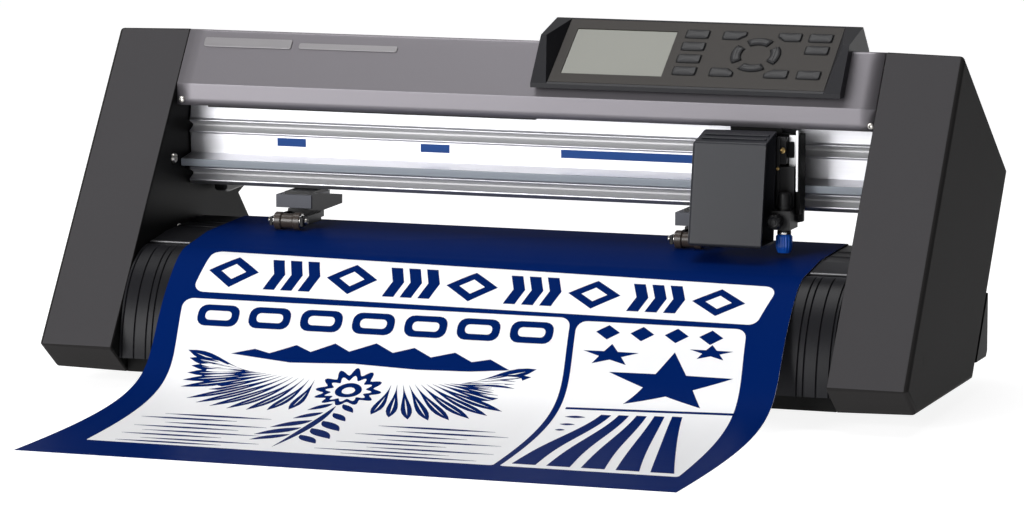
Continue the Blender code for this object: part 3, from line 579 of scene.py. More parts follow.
rail_corners = [((28.0, RAIL_TOP), 1.0), ((FACE_Y, RAIL_TOP), 0.8), *groove_corners(UPPER_GROOVE),
                ((FACE_Y, UPPER_GROOVE - 6.0), 0.3), ((FACE_Y, 164.0), 1.0), ((-29.5, 161.0), 0.7),
                ((-28.5, 155.3), 0.5), ((-10.0, 153.6), 0.2), *groove_corners(LOWER_GROOVE)[1:],
                ((FACE_Y, RAIL_BOTTOM), 0.5), ((28.0, RAIL_BOTTOM), 1.0)]
rail = block("rail_extrusion", *zip(*rail_corners), -RAIL_END, RAIL_END, 0.0, rail_finish, "machine", "aluminium",
             steps=3, node="y_rail")
rail.data.materials.append(painted_shade_groove_finish)
rail.data.materials.append(painted_shade_ledge_finish)
# Faces in the V grooves and on the ledge's front take the shaded copies: painted shade.
for polygon in rail.data.polygons:
    y, z = (polygon.center.y - ZERO_Y) / MM, polygon.center.z / MM
    in_groove = RIDGE_Y + 0.9 < y < FLOOR_Y + 0.2 and min(abs(z - UPPER_GROOVE), abs(z - LOWER_GROOVE)) < 3.9
    polygon.material_index = 2 if y < -28.0 else int(in_groove)

mark_blue = moulded("printed_blue", (0.014, 0.065, 0.26), 0.4, grain=2500.0, bump=0.04, specular=0.1)
for number, (x0, x1) in enumerate(((-204.6, -181.1), (-87.5, -64.1), (25.1, 200.0))):
    block(f"rail_mark_{number}", rectangle(x0, x1, 171.3, 177.6), 0.3, FACE_Y - 0.12, FACE_Y + 0.1, 0.0, mark_blue,
          "machine", "blue_plastic", axis="Y")


# ------------------------------------------------------------------ top cover
# One bent steel sheet in satin warm grey paint: an upright lip over the rail, a slope level with the side covers'
# fronts, a crest and a rear slope. It is notched for the panel's housing, and a blank nameplate is fixed on it.

cover_paint = moulded("satin_grey_paint", (0.205, 0.194, 0.211), 0.46, grain=1300.0, change=0.05, bump=0.05,
                      metallic=0.7)
HOUSING_LOW, HOUSING_HIGH = (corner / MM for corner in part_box("panel_housing"))
LIP_Y, LIP_Z0, LIP_Z1 = -36.0, 203.5, 220.0
SHEET_WALL, REAR_FLANGE = 2.0, 14.0


def bent_path(corners, radii, spacing=6.0, steps=6):
    """An open path of (y, z) points whose inner corners are arcs, with points along its straight runs too."""
    corners = np.asarray(corners, float)
    points = [corners[0]]
    ways = np.diff(corners, axis=0)
    ways /= np.linalg.norm(ways, axis=1)[:, None]
    for corner, into, away, radius in zip(corners[1:-1], ways[:-1], ways[1:], radii):
        turn = math.atan2(into[0] * away[1] - into[1] * away[0], into @ away)
        normal = np.array((-into[1], into[0])) * math.copysign(1.0, turn)
        centre = corner - into * radius * math.tan(abs(turn) / 2) + normal * radius
        for angle in turn * np.linspace(0.0, 1.0, steps + 1):
            cos, sin = math.cos(angle), math.sin(angle)
            points.append(centre - radius * np.array((normal[0] * cos - normal[1] * sin,
                                                      normal[0] * sin + normal[1] * cos)))
    points.append(corners[-1])
    filled = points[:1]
    for a, b in zip(points[:-1], points[1:]):
        parts = int(np.linalg.norm(b - a) // spacing) + 1
        filled += [a + (b - a) * k / parts for k in range(1, parts + 1)]
    return np.array(filled)


def notched_cover():
    """The path carried along X as a grid, less the quads that lie under the panel's housing."""
    cos, sin = math.cos(COVER_LEAN), math.sin(COVER_LEAN)
    rear_top = (COVER_CREST[0] + COVER_DEPTH * cos, COVER_CREST[1] - COVER_DEPTH * sin)
    flange = (rear_top[0] - REAR_FLANGE * sin, rear_top[1] - REAR_FLANGE * cos)
    path = bent_path([(LIP_Y, LIP_Z0), (LIP_Y, LIP_Z1), COVER_CREST, rear_top, flange], [1.6, 3.5, 3.0])
    x_low, x_high, rear = HOUSING_LOW[0] + 2.0, HOUSING_HIGH[0] - 2.0, HOUSING_HIGH[1] - ZERO_Y / MM - 2.0
    x = np.unique(np.concatenate((np.linspace(-RAIL_END, RAIL_END, 45), (x_low, x_high))))
    points = np.concatenate([level(path, value, "X") for value in x])
    quads = grid_faces(len(x), len(path))
    middle, column = points[quads].mean(axis=1), quads[:, 0] % len(path)
    under = (middle[:, 0] > x_low) & (middle[:, 0] < x_high) & (middle[:, 1] < rear)
    under &= column >= np.searchsorted(path[:, 1][: np.argmax(path[:, 1])], HOUSING_LOW[2] + 1.5)
    return points, quads[~under]


top = add_piece("bent_top_cover", notched_cover(), cover_paint, "machine", 50.0, closed=False,
                node="top_cover")
wall = top.modifiers.new("sheet_wall", "SOLIDIFY")
wall.thickness, wall.offset = SHEET_WALL * MM, -1.0

for number, x in enumerate((-272.5, 273.0)):
    screw(f"lip_screw_{number}", (x, LIP_Y - 0.1, 207.6), "Y", 2.7, "machine", out=-1.0)


# ------------------------------------------------------------------ nameplate
# A blank plate of brushed grey metal, bonded to the cover's slope near its left end, beside a shallow blank frame.

SLOPE_ALONG = np.array((COVER_CREST[0] - LIP_Y, COVER_CREST[1] - LIP_Z1))
SLOPE_ALONG /= np.linalg.norm(SLOPE_ALONG)


def turned_to(points, origin, across, up, out):
    """Local (a, b, n) points to the machine: origin plus a along across, b along up and n along out."""
    return np.asarray(origin, float) + np.asarray(points, float) @ np.array((across, up, out), float)


def plate(name, outline, radius, low, high, edge, origin, along, finish, body):
    """A flat plate on a slope that climbs along (y, z), its outline across and up the slope."""
    points, faces = block_shape(outline, radius, low, high, edge, "Z")
    axes = (1.0, 0.0, 0.0), (0.0, *along), (0.0, -along[1], along[0])
    add_piece(name, (turned_to(points, origin, *axes), faces), finish, body)


plate_metal = drawn("nameplate_metal", (0.33, 0.32, 0.33), 0.38, streak=1500.0)
for name, outline in (("nameplate", rectangle(-262.0, -190.0, 33.0, 41.0)),
                      ("nameplate_strip", rectangle(-184.0, -104.0, 33.5, 38.5))):
    plate(name, outline, 1.6, 0.02, 0.7, 0.3, (0.0, LIP_Y, LIP_Z1), SLOPE_ALONG, plate_metal, "machine")


# ------------------------------------------------------------------ control panel
# The housing is one moulding. Inside its frame lies a brown-grey faceplate with the display's window, and through it
# stand fifteen rubbery keys: four in a column, four round a ring of arrows, and three more on the right.

housing_finish = moulded("housing_black", (0.013, 0.013, 0.016), 0.42, grain=2000.0, bump=0.12, specular=0.2)
face_finish = moulded("panel_face_brown_grey", (0.034, 0.030, 0.027), 0.42, grain=2400.0, change=0.05, bump=0.1,
                      specular=0.12)
key_finish = moulded("key_rubber", (0.016, 0.016, 0.018), 0.42, grain=1500.0, bump=0.06, specular=0.25)

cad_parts["panel_face"].data.materials[0] = face_finish

PANEL_CORNER = (24.0, -39.8, 232.2)
PANEL_TILT = math.radians(35.4)
PANEL_AXES = ((1.0, 0.0, 0.0), (0.0, math.cos(PANEL_TILT), math.sin(PANEL_TILT)),
              (0.0, -math.sin(PANEL_TILT), math.cos(PANEL_TILT)))


def on_panel(shape):
    """Points across, up and out of the faceplate, set on the tilted panel."""
    points, faces = shape
    return turned_to(points, PANEL_CORNER, *PANEL_AXES), faces


def lofted(corners, radii, steps, loops):
    """Rings of one outline, each moved inwards by an inset and set at a height over the faceplate."""
    return [level(rounded_outline(corners, radii, inset, steps), height, "Z") for inset, height in loops]


def pillow(corners, radii, base, shoulder, crown, edge=0.9):
    """A key cap: upright sides to the shoulder, a quarter-round edge, then a low dome over the middle.
    The dome rises as crown times one minus the square of the share of the outline that is left."""
    turn = np.linspace(0.3, math.pi / 2, 4)
    bend = zip(edge * (1.0 - np.cos(turn)), shoulder - edge + edge * np.sin(turn))
    rings = lofted(corners, radii, 4, [(0.0, base), (0.0, shoulder - edge), *bend])
    top = rings[-1]
    middle = top.mean(axis=0)
    for share in (0.75, 0.5, 0.25, 0.0):
        ring = middle + (top - middle) * share
        ring[:, 2] = shoulder + crown * (1.0 - share * share)
        rings.append(ring)
    return capped_tube(rings)


def looped_tube(rings):
    """Points and faces of successive rings, the last one joined back to the first."""
    return np.concatenate([*rings, rings[0]]), ring_faces(len(rings) + 1, len(rings[0]))


def seam_groove(name, corners, radii, width):
    """A thin dark ring on the faceplate round a key, standing 0.1 mm proud: the shadow gap of its hole."""
    loops = [(-0.05, -0.2), (-0.05, 0.08), (-width, 0.08), (-width, -0.2)]
    add_piece(name, on_panel(looped_tube(lofted(corners, radii, 4, loops))), painted_shadow_black, "machine")


def key_outline(u, v, cut):
    """A rectangle round (u, v) whose corner on the side given by cut, (right, up) as -1 or 1, is cut off slanting."""
    a, b = KEY_SIZE[0] / 2, KEY_SIZE[1] / 2
    corners = [(-a, -b), (a, -b), (a, b), (-a, b)]
    if cut:
        sx, sy = cut
        index = corners.index((a * sx, b * sy))
        pair = [(a * sx, (b - KEY_CUT[1]) * sy), ((a - KEY_CUT[0]) * sx, b * sy)]
        corners[index:index + 1] = pair if sx * sy > 0 else pair[::-1]
    return [(u + x, v + y) for x, y in corners]


KEY_SIZE, KEY_CUT = (17.8, 8.9), (5.5, 4.4)
KEY_SPOTS = {"menu_1": (103, 59.2, None), "menu_2": (103, 45.2, None), "menu_3": (103, 31.2, None),
             "menu_4": (103, 17.2, None), "upper_left": (132, 59, (1, -1)), "upper_right": (174.6, 59, (-1, -1)),
             "side_top": (198.5, 59, None), "side_middle": (198.5, 45.2, None), "lower_left": (131.6, 17.2, (1, 1)),
             "lower_right": (173.6, 17.2, (-1, 1)), "side_bottom": (198.5, 17.2, None)}
seams = []
for key, spot in KEY_SPOTS.items():
    add_piece(f"cap_{key}", on_panel(pillow(key_outline(*spot), 1.8, -3.1, 1.0, 0.5)), key_finish, f"key_{key}",
              35.0, node=f"key_{key}")
    seams.append((key, key_outline(*spot), 1.8, 0.7))

RING_CENTRE, RING_INNER, RING_OUTER, RING_SPAN = (153.0, 37.9), 11.5, 18.8, 66.0
ARROW_RADII = [1.6] + [0.0] * 11 + [1.6, 1.6] + [0.0] * 11 + [1.6]
ARROW_LOOPS = [(0.0, -3.1), (0.0, 0.2), (0.3, 0.75), (0.9, 1.0), (1.6, 1.3), (2.4, 1.45)]
for key, middle in (("right", 0.0), ("up", 90.0), ("left", 180.0), ("down", 270.0)):
    turn = np.radians(middle + np.linspace(-RING_SPAN / 2, RING_SPAN / 2, 13))
    arc = np.column_stack((np.cos(turn), np.sin(turn)))
    sector = RING_CENTRE + np.vstack((RING_OUTER * arc, RING_INNER * arc[::-1]))
    add_piece(f"cap_arrow_{key}", on_panel(capped_tube(lofted(sector, ARROW_RADII, 3, ARROW_LOOPS))), key_finish,
              f"key_arrow_{key}", 35.0, node=f"key_arrow_{key}")
    seams.append((f"arrow_{key}", sector, ARROW_RADII, 0.6))
for key, *seam in seams:
    seam_groove(f"gap_{key}", *seam)


def display_surface(group, given, spot):
    """A grey-green display: a fine grid of cell gaps, a soft darkening towards one corner as painted shade from the
    bezel, all of it unlit.
    """
    white = (1.0, 1.0, 1.0, 1.0)
    cells = node_of(group, "TexBrick", {
        "Vector": spot, "Scale": given["Cell"], "Color1": white, "Color2": white, "Mortar": (0.93, 0.93, 0.93, 1.0),
        "Mortar Size": 0.05, "Brick Width": 1.0, "Row Height": 1.0}, offset=0.0).outputs["Color"]
    bezel_painted_shade = noise(group, spot, 9.0)
    tinted = node_of(group, "VectorMath", {0: given["Colour"], 1: cells}, operation="MULTIPLY").outputs[0]
    return toned(group, tinted, mapped(group, bezel_painted_shade, 0.92, 1.05)), given["Roughness"], bezel_painted_shade


DISPLAY = surface_group("display_cells", display_surface, Colour=(0.175, 0.179, 0.150, 1.0), Cell=1700.0,
                        Roughness=0.18)
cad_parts["lcd_module"].data.materials[0] = grouped_material("display_glass", DISPLAY, {}, 0.0, 0.0001,
                                                                  specular=0.3)


# ------------------------------------------------------------------ sheet on the machine
# A white paper liner, 0.25 mm, with blue vinyl 0.15 mm thick on it, fed out over the platen's front edge and down to
# the floor. The vinyl has a picture cut and weeded out of it down to the liner: a banner, hills, leaves and stars.

SHEET_HALF, SHEET_LIFT, LINER_SKIN, VINYL_SKIN = 242.0, 0.6, 0.25, 0.15
REAR_BEND, TAIL_END = 9.0, 56.6
DRAPE_LEAVE, DRAPE_END = math.radians(31.3), (-412.0, 0.06)
DRAPE_HANDLES = 105.3, 297.3
SHEET_FRONT = -418.0


def sheet_path():
    """The sheet's underside from the back to the front edge: down behind the platen, over it, round the apron's
    ellipse to where it leaves, then a cubic curve that goes on straight and comes down flat at the front edge."""
    quarter = np.linspace(0.0, math.pi / 2, 13)[:, None]
    bend = (PLATEN_REAR[0], PLATEN_REAR[1] - REAR_BEND) + (REAR_BEND + SHEET_LIFT) * np.hstack(
        (np.cos(quarter), np.sin(quarter)))
    tail = (PLATEN_REAR[0] + REAR_BEND + SHEET_LIFT, TAIL_END)
    flat = [(y, z + SHEET_LIFT) for y, z in (PLATEN_BEND, PLATEN_FRONT)]
    rise = np.array(APRON_RADII) + SHEET_LIFT
    turn = DRAPE_LEAVE * np.arange(1, 9)[:, None] / 8
    apron_arc = APRON_CENTRE + rise * np.hstack((-np.sin(turn), np.cos(turn)))
    heading = rise * (-math.cos(DRAPE_LEAVE), -math.sin(DRAPE_LEAVE))
    a, d = apron_arc[-1], np.array(DRAPE_END)
    b, c = a + heading / np.linalg.norm(heading) * DRAPE_HANDLES[0], d + (DRAPE_HANDLES[1], 0.0)
    t = np.linspace(0.0, 1.0, 49)[1:, None]
    drape = (1 - t) ** 3 * a + 3 * (1 - t) ** 2 * t * b + 3 * (1 - t) * t * t * c + t ** 3 * d
    return np.vstack((tail, bend, flat, apron_arc, drape, (SHEET_FRONT, DRAPE_END[1])))


def path_normals(path):
    """The lengths of a path's runs, and at each point the normal that keeps both its runs at the same distance."""
    steps = np.diff(path, axis=0)
    lengths = np.linalg.norm(steps, axis=1)
    ways = steps / lengths[:, None]
    before, after = np.vstack((ways[:1], ways)), np.vstack((ways, ways[-1:]))
    mean = before + after
    mean /= np.linalg.norm(mean, axis=1)[:, None]
    return lengths, np.column_stack((mean[:, 1], -mean[:, 0])) / np.sum(mean * after, axis=1)[:, None]


SHEET_PATH = sheet_path()
SHEET_LENGTHS, SHEET_UP = path_normals(SHEET_PATH)
SHEET_TOTAL = float(SHEET_LENGTHS.sum())
SHEET_FROM_FRONT = SHEET_TOTAL - np.concatenate(([0.0], np.cumsum(SHEET_LENGTHS)))


def on_sheet(x, s, lift):
    """Points at x across the sheet and s along it from the front edge, lifted off the underside along its normal."""
    y, z, ny, nz = (np.interp(s, SHEET_FROM_FRONT[::-1], column[::-1]) for column in (*SHEET_PATH.T, *SHEET_UP.T))
    return np.column_stack((x, y + ny * lift, z + nz * lift))


grid_x, grid_s = np.meshgrid(np.linspace(-SHEET_HALF, SHEET_HALF, 15), SHEET_FROM_FRONT, indexing="ij")
layers = [on_sheet(grid_x.ravel(), grid_s.ravel(), lift).reshape(*grid_x.shape, 3) for lift in (LINER_SKIN, 0.0)]
paper_white = moulded("liner_paper", (0.92, 0.92, 0.93), 0.5, grain=700.0, change=0.03, bump=0.04)
liner = add_piece("sheet_liner", closed_sheet(layers), paper_white, "machine", node="media_sheet")


# ------------------------------------------------------------------ picture cut in the vinyl
# The outlines are drawn flat, X across and distance from the front edge up, and filled by the even-odd rule. The
# fill is then sliced across at each bend of the sheet, bent with it and given its thickness.

def lens(start, end, width, share=0.5, points=9):
    """A pointed leaf from start to end: half-width is width/2 times the sine of pi t, with t bent so that the widest
    place lies at share of the length."""
    start, end = np.array(start, float), np.array(end, float)
    t = np.linspace(0.0, 1.0, points)
    half = 0.5 * width * np.sin(math.pi * t ** (math.log(0.5) / math.log(share)))
    along = end - start
    side = np.array((-along[1], along[0])) / np.linalg.norm(along)
    spine = start + along * t[:, None]
    return np.vstack((spine + side * half[:, None], (spine - side * half[:, None])[-2:0:-1]))


def star(centre, half_width, half_height):
    """A star: corners at every 36 degrees from the top, the inner ones at 0.4 of the radius, scaled each way."""
    angle = math.pi / 2 + np.arange(10) * math.pi / 5
    radius = np.tile((1.0, 0.4), 5)
    return centre + np.column_stack((half_width * radius * np.cos(angle), half_height * radius * np.sin(angle)))


outlines = [rectangle(-SHEET_HALF, SHEET_HALF, 0.0, SHEET_TOTAL)]
PICTURE_SCALE = 0.977


def cut_out(points):
    """Adds an outline, its distances from the front edge scaled to the sheet's length."""
    outlines.append(np.asarray(points, float) * (1.0, PICTURE_SCALE))


def diamond(x, base, width, height):
    """Four corners from the left one, with the lower and upper ones half way along."""
    cut_out([(x, base + height / 2), (x + width / 2, base), (x + width, base + height / 2),
             (x + width / 2, base + height)])


def leaning(x, s):
    """An upright line leans: x grows by 0.06 for each millimetre that s lies under 306."""
    return x + 0.06 * (306.0 - s)


cut_out(rounded_outline([(-221, 312), (218, 308), (228, 345), (-216, 356)], 8.0, 0.0, 6))
for x0, x1, top in ((-226.0, 78.5, 306.0), (83.5, 212.0, 304.0)):
    corners = [(leaning(x, s), s) for x, s in rectangle(x0, x1, 55.0, top)]
    cut_out(rounded_outline(corners, [3.0, 3.0, 8.0, 8.0], 0.0, 6))

for number in range(9):
    x, base, height = -213.0 + 47.4 * number, 317.5 - 0.4 * number, 31.0 - 0.7 * number
    if number % 2 == 0:
        diamond(x, base, 40.0, height)
        diamond(x + 10.0, base + height / 4, 20.0, height / 2)
    else:
        for left in (x, x + 14.0, x + 28.0):
            middle, top = base + height / 2, base + height
            cut_out([(left, base), (left + 9, base), (left + 14, middle), (left + 9, top), (left, top),
                     (left + 5, middle)])
for x in leaning(-212.0, 293.0) + 41.0 * np.arange(7):
    cut_out(rounded_outline(rectangle(x, x + 33, 283.0, 301.0), 7.0, 0.0, 4))
    cut_out(rounded_outline(rectangle(x + 6, x + 27, 288.0, 296.0), 3.5, 0.0, 4))
for x in 100.0 + 26.0 * np.arange(4):
    diamond(x, 289.5, 18.0, 12.0)

HILLS = [(-178, 261), (-160, 266), (-148, 263), (-128, 271), (-116, 266), (-98, 274), (-86, 268), (-66, 276),
         (-52, 269), (-36, 274), (-22, 267), (-4, 272), (10, 265), (24, 268), (40, 260), (10, 257), (-30, 256),
         (-80, 258), (-130, 256)]
cut_out(HILLS[::-1])

MIDDLE_X = -76.0
LEAF_PAIRS = ((206.0, 22.0), (186.0, 26.0), (164.0, 36.0), (141.0, 40.0), (118.0, 34.0))
for side in (-1, 1):
    for share in np.arange(14) / 13.0:
        base = np.array((MIDDLE_X + side * (30.0 + 57.0 * share), 240.0 + 6.0 * share))
        angle = math.radians(-88.0 + 106.0 * share ** 0.9)
        leaf = (52.0 + 22.0 * math.sin(math.pi * min(share * 1.2, 1.0))) * np.array(
            (side * math.cos(angle), math.sin(angle)))
        cut_out(lens(base, base + leaf, 8.2, 0.66))
        cut_out(lens(base + leaf * 0.3, base + leaf * 0.86, 1.3, 0.5, 5))
    for s, length in LEAF_PAIRS:
        tip = (MIDDLE_X + side * (4.0 + 0.62 * length), s - 0.75 * length)
        cut_out(lens((MIDDLE_X + side * 4.0, s), tip, 0.3 * length, 0.45))
petals = np.linspace(0.0, 2.0 * math.pi, 96, endpoint=False)
flower = 1.0 + 0.16 * np.cos(12.0 * petals)
for scale, shape in ((22.0, flower), (15.5, flower), (10.0, 1.0), (5.0, 1.0)):
    cut_out(np.column_stack((MIDDLE_X + scale * shape * np.cos(petals), 229.0 + scale * shape * np.sin(petals))))
cut_out(lens((MIDDLE_X, 202.0), (MIDDLE_X, 72.0), 6.0, 0.4, 15))
STREAKS = [(-200, -118, 158), (-214, -140, 146), (-190, -112, 132), (-208, -128, 118), (-196, -106, 104),
           (-206, -130, 90), (-186, -96, 76), (-200, -120, 64), (-36, 52, 160), (-18, 66, 147), (-44, 40, 133),
           (-22, 70, 119), (-48, 34, 105), (-20, 74, 91), (-54, 46, 77), (-30, 70, 65)]
for x0, x1, s in STREAKS:
    cut_out(lens((x0 + 8, s), (x1 + 8, s + 1.5), 4.6, 0.5))

for centre, half_width, half_height in (((114, 277), 22.0, 9.0), ((189, 283), 17.0, 6.5), ((162, 255), 49.0, 27.0)):
    cut_out(star(centre, half_width, half_height))
cut_out([(93, 221), (219, 226), (219, 229), (93, 224)])
sway = np.linspace(0.0, 1.0, 17)
for number in range(5):
    top_x, low_x = 122.0 + 13.0 * number, 104.0 + 25.0 * number
    spine = top_x + (low_x - top_x) * sway ** 1.4 - 9.0 * np.sin(math.pi * sway) * (1.0 - 0.3 * number)
    fall = 215.0 + number - (149.0 + number) * sway
    cut_out(np.vstack((np.column_stack((spine, fall)), np.column_stack((spine + 7.5 + 9.5 * sway, fall))[::-1])))
for x0, x1, s in ((97, 112, 208), (98, 109, 192), (99, 106, 178)):
    cut_out(lens((x0, s), (x1, s + 1), 4.0, 0.5, 7))


def filled_outlines():
    """Flat triangles over the closed outlines, by the even-odd rule."""
    curve = bpy.data.curves.new("vinyl_outlines", "CURVE")
    curve.dimensions = "2D"
    curve.fill_mode = "BOTH"
    for loop in outlines:
        spline = curve.splines.new("POLY")
        spline.points.add(len(loop) - 1)
        spline.points.foreach_set("co", np.column_stack((loop, np.zeros(len(loop)), np.ones(len(loop)))).ravel())
        spline.use_cyclic_u = True
    holder = bpy.data.objects.new("vinyl_outlines", curve)
    bpy.context.scene.collection.objects.link(holder)
    mesh = evaluated_mesh(holder)
    bpy.data.curves.remove(curve)
    return mesh


def cut_vinyl():
    """Points and faces of the cut vinyl: the fill sliced at the sheet's bends, bent, and closed round its edges."""
    flat = filled_outlines()
    bm = bmesh.new()
    bm.from_mesh(flat)
    bpy.data.meshes.remove(flat)
    bmesh.ops.remove_doubles(bm, verts=bm.verts, dist=0.001)
    for s in SHEET_FROM_FRONT[1:-1]:
        bmesh.ops.bisect_plane(bm, geom=[*bm.verts, *bm.edges, *bm.faces], dist=1e-4, plane_co=(0.0, s, 0.0),
                               plane_no=(0.0, 1.0, 0.0))
    bmesh.ops.recalc_face_normals(bm, faces=bm.faces)
    bm.normal_update()
    bmesh.ops.reverse_faces(bm, faces=[face for face in bm.faces if face.normal.z < 0.0])
    bm.verts.index_update()
    size = len(bm.verts)
    spots = np.array([vert.co[:2] for vert in bm.verts])
    faces = [[vert.index for vert in face.verts] for face in bm.faces]
    walls = [[b, a, a + size, b + size] for edge in bm.edges if len(edge.link_faces) == 1
             for loop in edge.link_loops for a, b in [(loop.vert.index, loop.link_loop_next.vert.index)]]
    bm.free()
    skins = [on_sheet(*spots.T, lift) for lift in (LINER_SKIN + VINYL_SKIN, LINER_SKIN + 0.01)]
    below = [[index + size for index in face[::-1]] for face in faces]
    return np.concatenate(skins), faces + below + walls


vinyl_blue = moulded("navy_vinyl", (0.0010, 0.0140, 0.108), 0.38, grain=300.0, change=0.08, bump=0.02, specular=0.003)
vinyl = add_piece("sheet_vinyl", cut_vinyl(), vinyl_blue, "machine", closed=False)


# ------------------------------------------------------------------ machined and moulded small parts
# Brackets, arms, motors, the platen and the rest of the small parts keep their built shape, with each hard edge
# rounded over by a fraction of a millimetre, and the finish that belongs to the part.

def rounded_copy(node, finish, body, width, sharp=25.0):
    """The node's own shape, its flat faces joined again and every edge sharper than the angle given bevelled."""
    bm = bmesh.new()
    bm.from_mesh(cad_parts[node].data)
    bmesh.ops.remove_doubles(bm, verts=bm.verts, dist=1e-7)
    bmesh.ops.dissolve_limit(bm, angle_limit=math.radians(0.5), verts=bm.verts, edges=bm.edges)
    hard = [edge for edge in bm.edges if len(edge.link_faces) == 2 and edge.calc_face_angle(0.0) > math.radians(sharp)]
    bmesh.ops.bevel(bm, geom=hard, offset=width * MM, segments=2, profile=0.5, affect="EDGES", clamp_overlap=True)
    bmesh.ops.recalc_face_normals(bm, faces=bm.faces)
    name = f"{node}_rounded"
    return mounted(name, filled_mesh(name, bm), finish, body, 40.0, node)


bright_steel = moulded("bright_steel", (0.72, 0.71, 0.70), 0.26, grain=2600.0, change=0.2, bump=0.04, metallic=1.0)
zinc_plate = moulded("zinc_plated_sheet", (0.66, 0.66, 0.67), 0.34, grain=1800.0, change=0.25, bump=0.05, metallic=1.0)
brass = moulded("brass", (0.68, 0.48, 0.20), 0.3, grain=2600.0, change=0.2, bump=0.04, metallic=1.0)
circuit_green = moulded("circuit_board_green", (0.012, 0.090, 0.045), 0.35, grain=800.0, change=0.3, bump=0.05)
felt_mat = moulded("cutting_mat_grey", (0.20, 0.20, 0.21), 0.85, grain=1100.0, change=0.2, bump=0.4)
block_grey = moulded("pinch_block_grey", (0.060, 0.064, 0.082), 0.4, grain=1700.0, bump=0.1, specular=0.4)
belt_rubber = moulded("belt_rubber", (0.014, 0.014, 0.015), 0.6, grain=1200.0, bump=0.15)
PINCH_MIDDLES = {"left": -184.0, "right": 135.5}
for node, finish, body, slot, width in (
        ("left_side_frame", black_steel, "machine", "black_steel", 0.5),
        ("right_side_frame", black_steel, "machine", "black_steel", 0.5),
        ("platen", ribbed_black, "machine", "black_plastic", 0.4),
        ("base_tray", black_steel, "machine", "black_steel", 0.4),
        ("panel_housing", housing_finish, "machine", "panel_plastic", 0.7),
        ("carriage_frame", black_steel, "carriage", "black_steel", 0.35),
        ("tool_arm", matt_black, "tool", "black_plastic", 0.8),
        ("pinch_block_left", matt_black, "pinch_block_left", "black_plastic", 0.6),
        ("pinch_block_right", matt_black, "pinch_block_right", "black_plastic", 0.6),
        ("pinch_arm_left", matt_black, "pinch_arm_left", "black_plastic", 0.6),
        ("pinch_arm_right", matt_black, "pinch_arm_right", "black_plastic", 0.6),
        ("lift_shaft", bright_steel, "lift", "steel", 0.3),
        ("set_lever", matt_black, "lift", "black_plastic", 1.2),
        ("feed_motor", black_steel, "machine", "black_steel", 0.8),
        ("carriage_motor", black_steel, "machine", "black_steel", 0.8),
        ("power_supply", zinc_plate, "machine", "grey_metal", 0.6),
        ("connector_box", black_steel, "machine", "dark_cover", 0.8),
        ("power_inlet", matt_black, "machine", "black_plastic", 0.5),
        ("power_switch", matt_black, "power_switch", "black_plastic", 0.7)):
    copy = rounded_copy(node, finish, body, width)
    if node.startswith("pinch_block"):
        face_end = PINCH_MIDDLES[node.removeprefix("pinch_block_")] + 14.6
        copy.data.materials.append(block_grey)
        for polygon in copy.data.polygons:
            polygon.material_index = int(polygon.center.x / MM < face_end and polygon.center.z / MM < 136.8)
for node, finish in (("main_board", circuit_green), ("cutting_mat", felt_mat), ("flex_cable", belt_rubber)):
    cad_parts[node].data.materials[0] = finish

FOOT = [(0.0, 0.0), (9.2, 0.0), (10.4, 0.5), (11.0, 1.6), (12.0, 10.2), (11.8, 11.2), (0.0, 11.2)]
for depth, y in (("front", -38.0), ("rear", 14.0)):
    for side, x in (("left", -255.0), ("right", 255.0)):
        name = f"foot_{depth}_{side}"
        turned_piece(f"{name}_pad", FOOT, (x, y, 0.0), "Z", rubber, "machine", steps=40, node=name)


# ------------------------------------------------------------------ carriage and guide wheels
# The hood is a thin black moulding, open behind and on its right, over a black coated steel plate that runs on the rail
# with one grooved wheel above and one below. Beside the hood the plate carries the tool's slide, screws and a bracket.

def hood_outline(inset):
    """The hood's side profile: an upright rear edge, a sloping top and a front that falls away."""
    corners = [(-47.0, 119.0), (-40.4, 196.4), (-40.4, 202.0), (-69.4, 195.4), (-81.8, 119.0)]
    return rounded_outline(corners, [0.6, 2.0, 1.2, 2.4, 2.4], inset, 5)


hood_finish = moulded("hood_black", (0.022, 0.023, 0.028), 0.36, grain=2000.0, bump=0.12, specular=0.2)
add_piece("carriage_hood", open_shell(hood_outline, 203.0, 146.3, 1.8, 3.2, 0.4), hood_finish, "carriage",
          30.0, node="carriage_cover")
hood_slope = np.array((29.0, 6.6)) / math.hypot(29.0, 6.6)
for number, along in enumerate((7.0, 15.5)):
    plate(f"hood_ridge_{number}", rectangle(151.0, 201.0, along, along + 3.2), 1.2, -0.2, 0.9, 0.5,
          (0.0, -69.4, 195.4), hood_slope, hood_finish, "carriage")

WHEEL_HALF = [(0.0, -3.2), (6.2, -3.2), (6.8, -2.8), (7.6, -2.2), (10.7, -0.7)]
WHEEL = np.array([*WHEEL_HALF, (10.9, 0.0), *((r, -h) for r, h in WHEEL_HALF[::-1])])
for name, z, scale, body, node in (("upper", UPPER_GROOVE, 1.0, "guide_wheel", "guide_wheel"),
                                   ("lower", LOWER_GROOVE, 0.98, "carriage", None)):
    turned_piece(f"guide_wheel_{name}", WHEEL * (scale, 1.0), (185.0, -18.0, z), "Z", bright_steel, body,
                 steps=48, node=node)
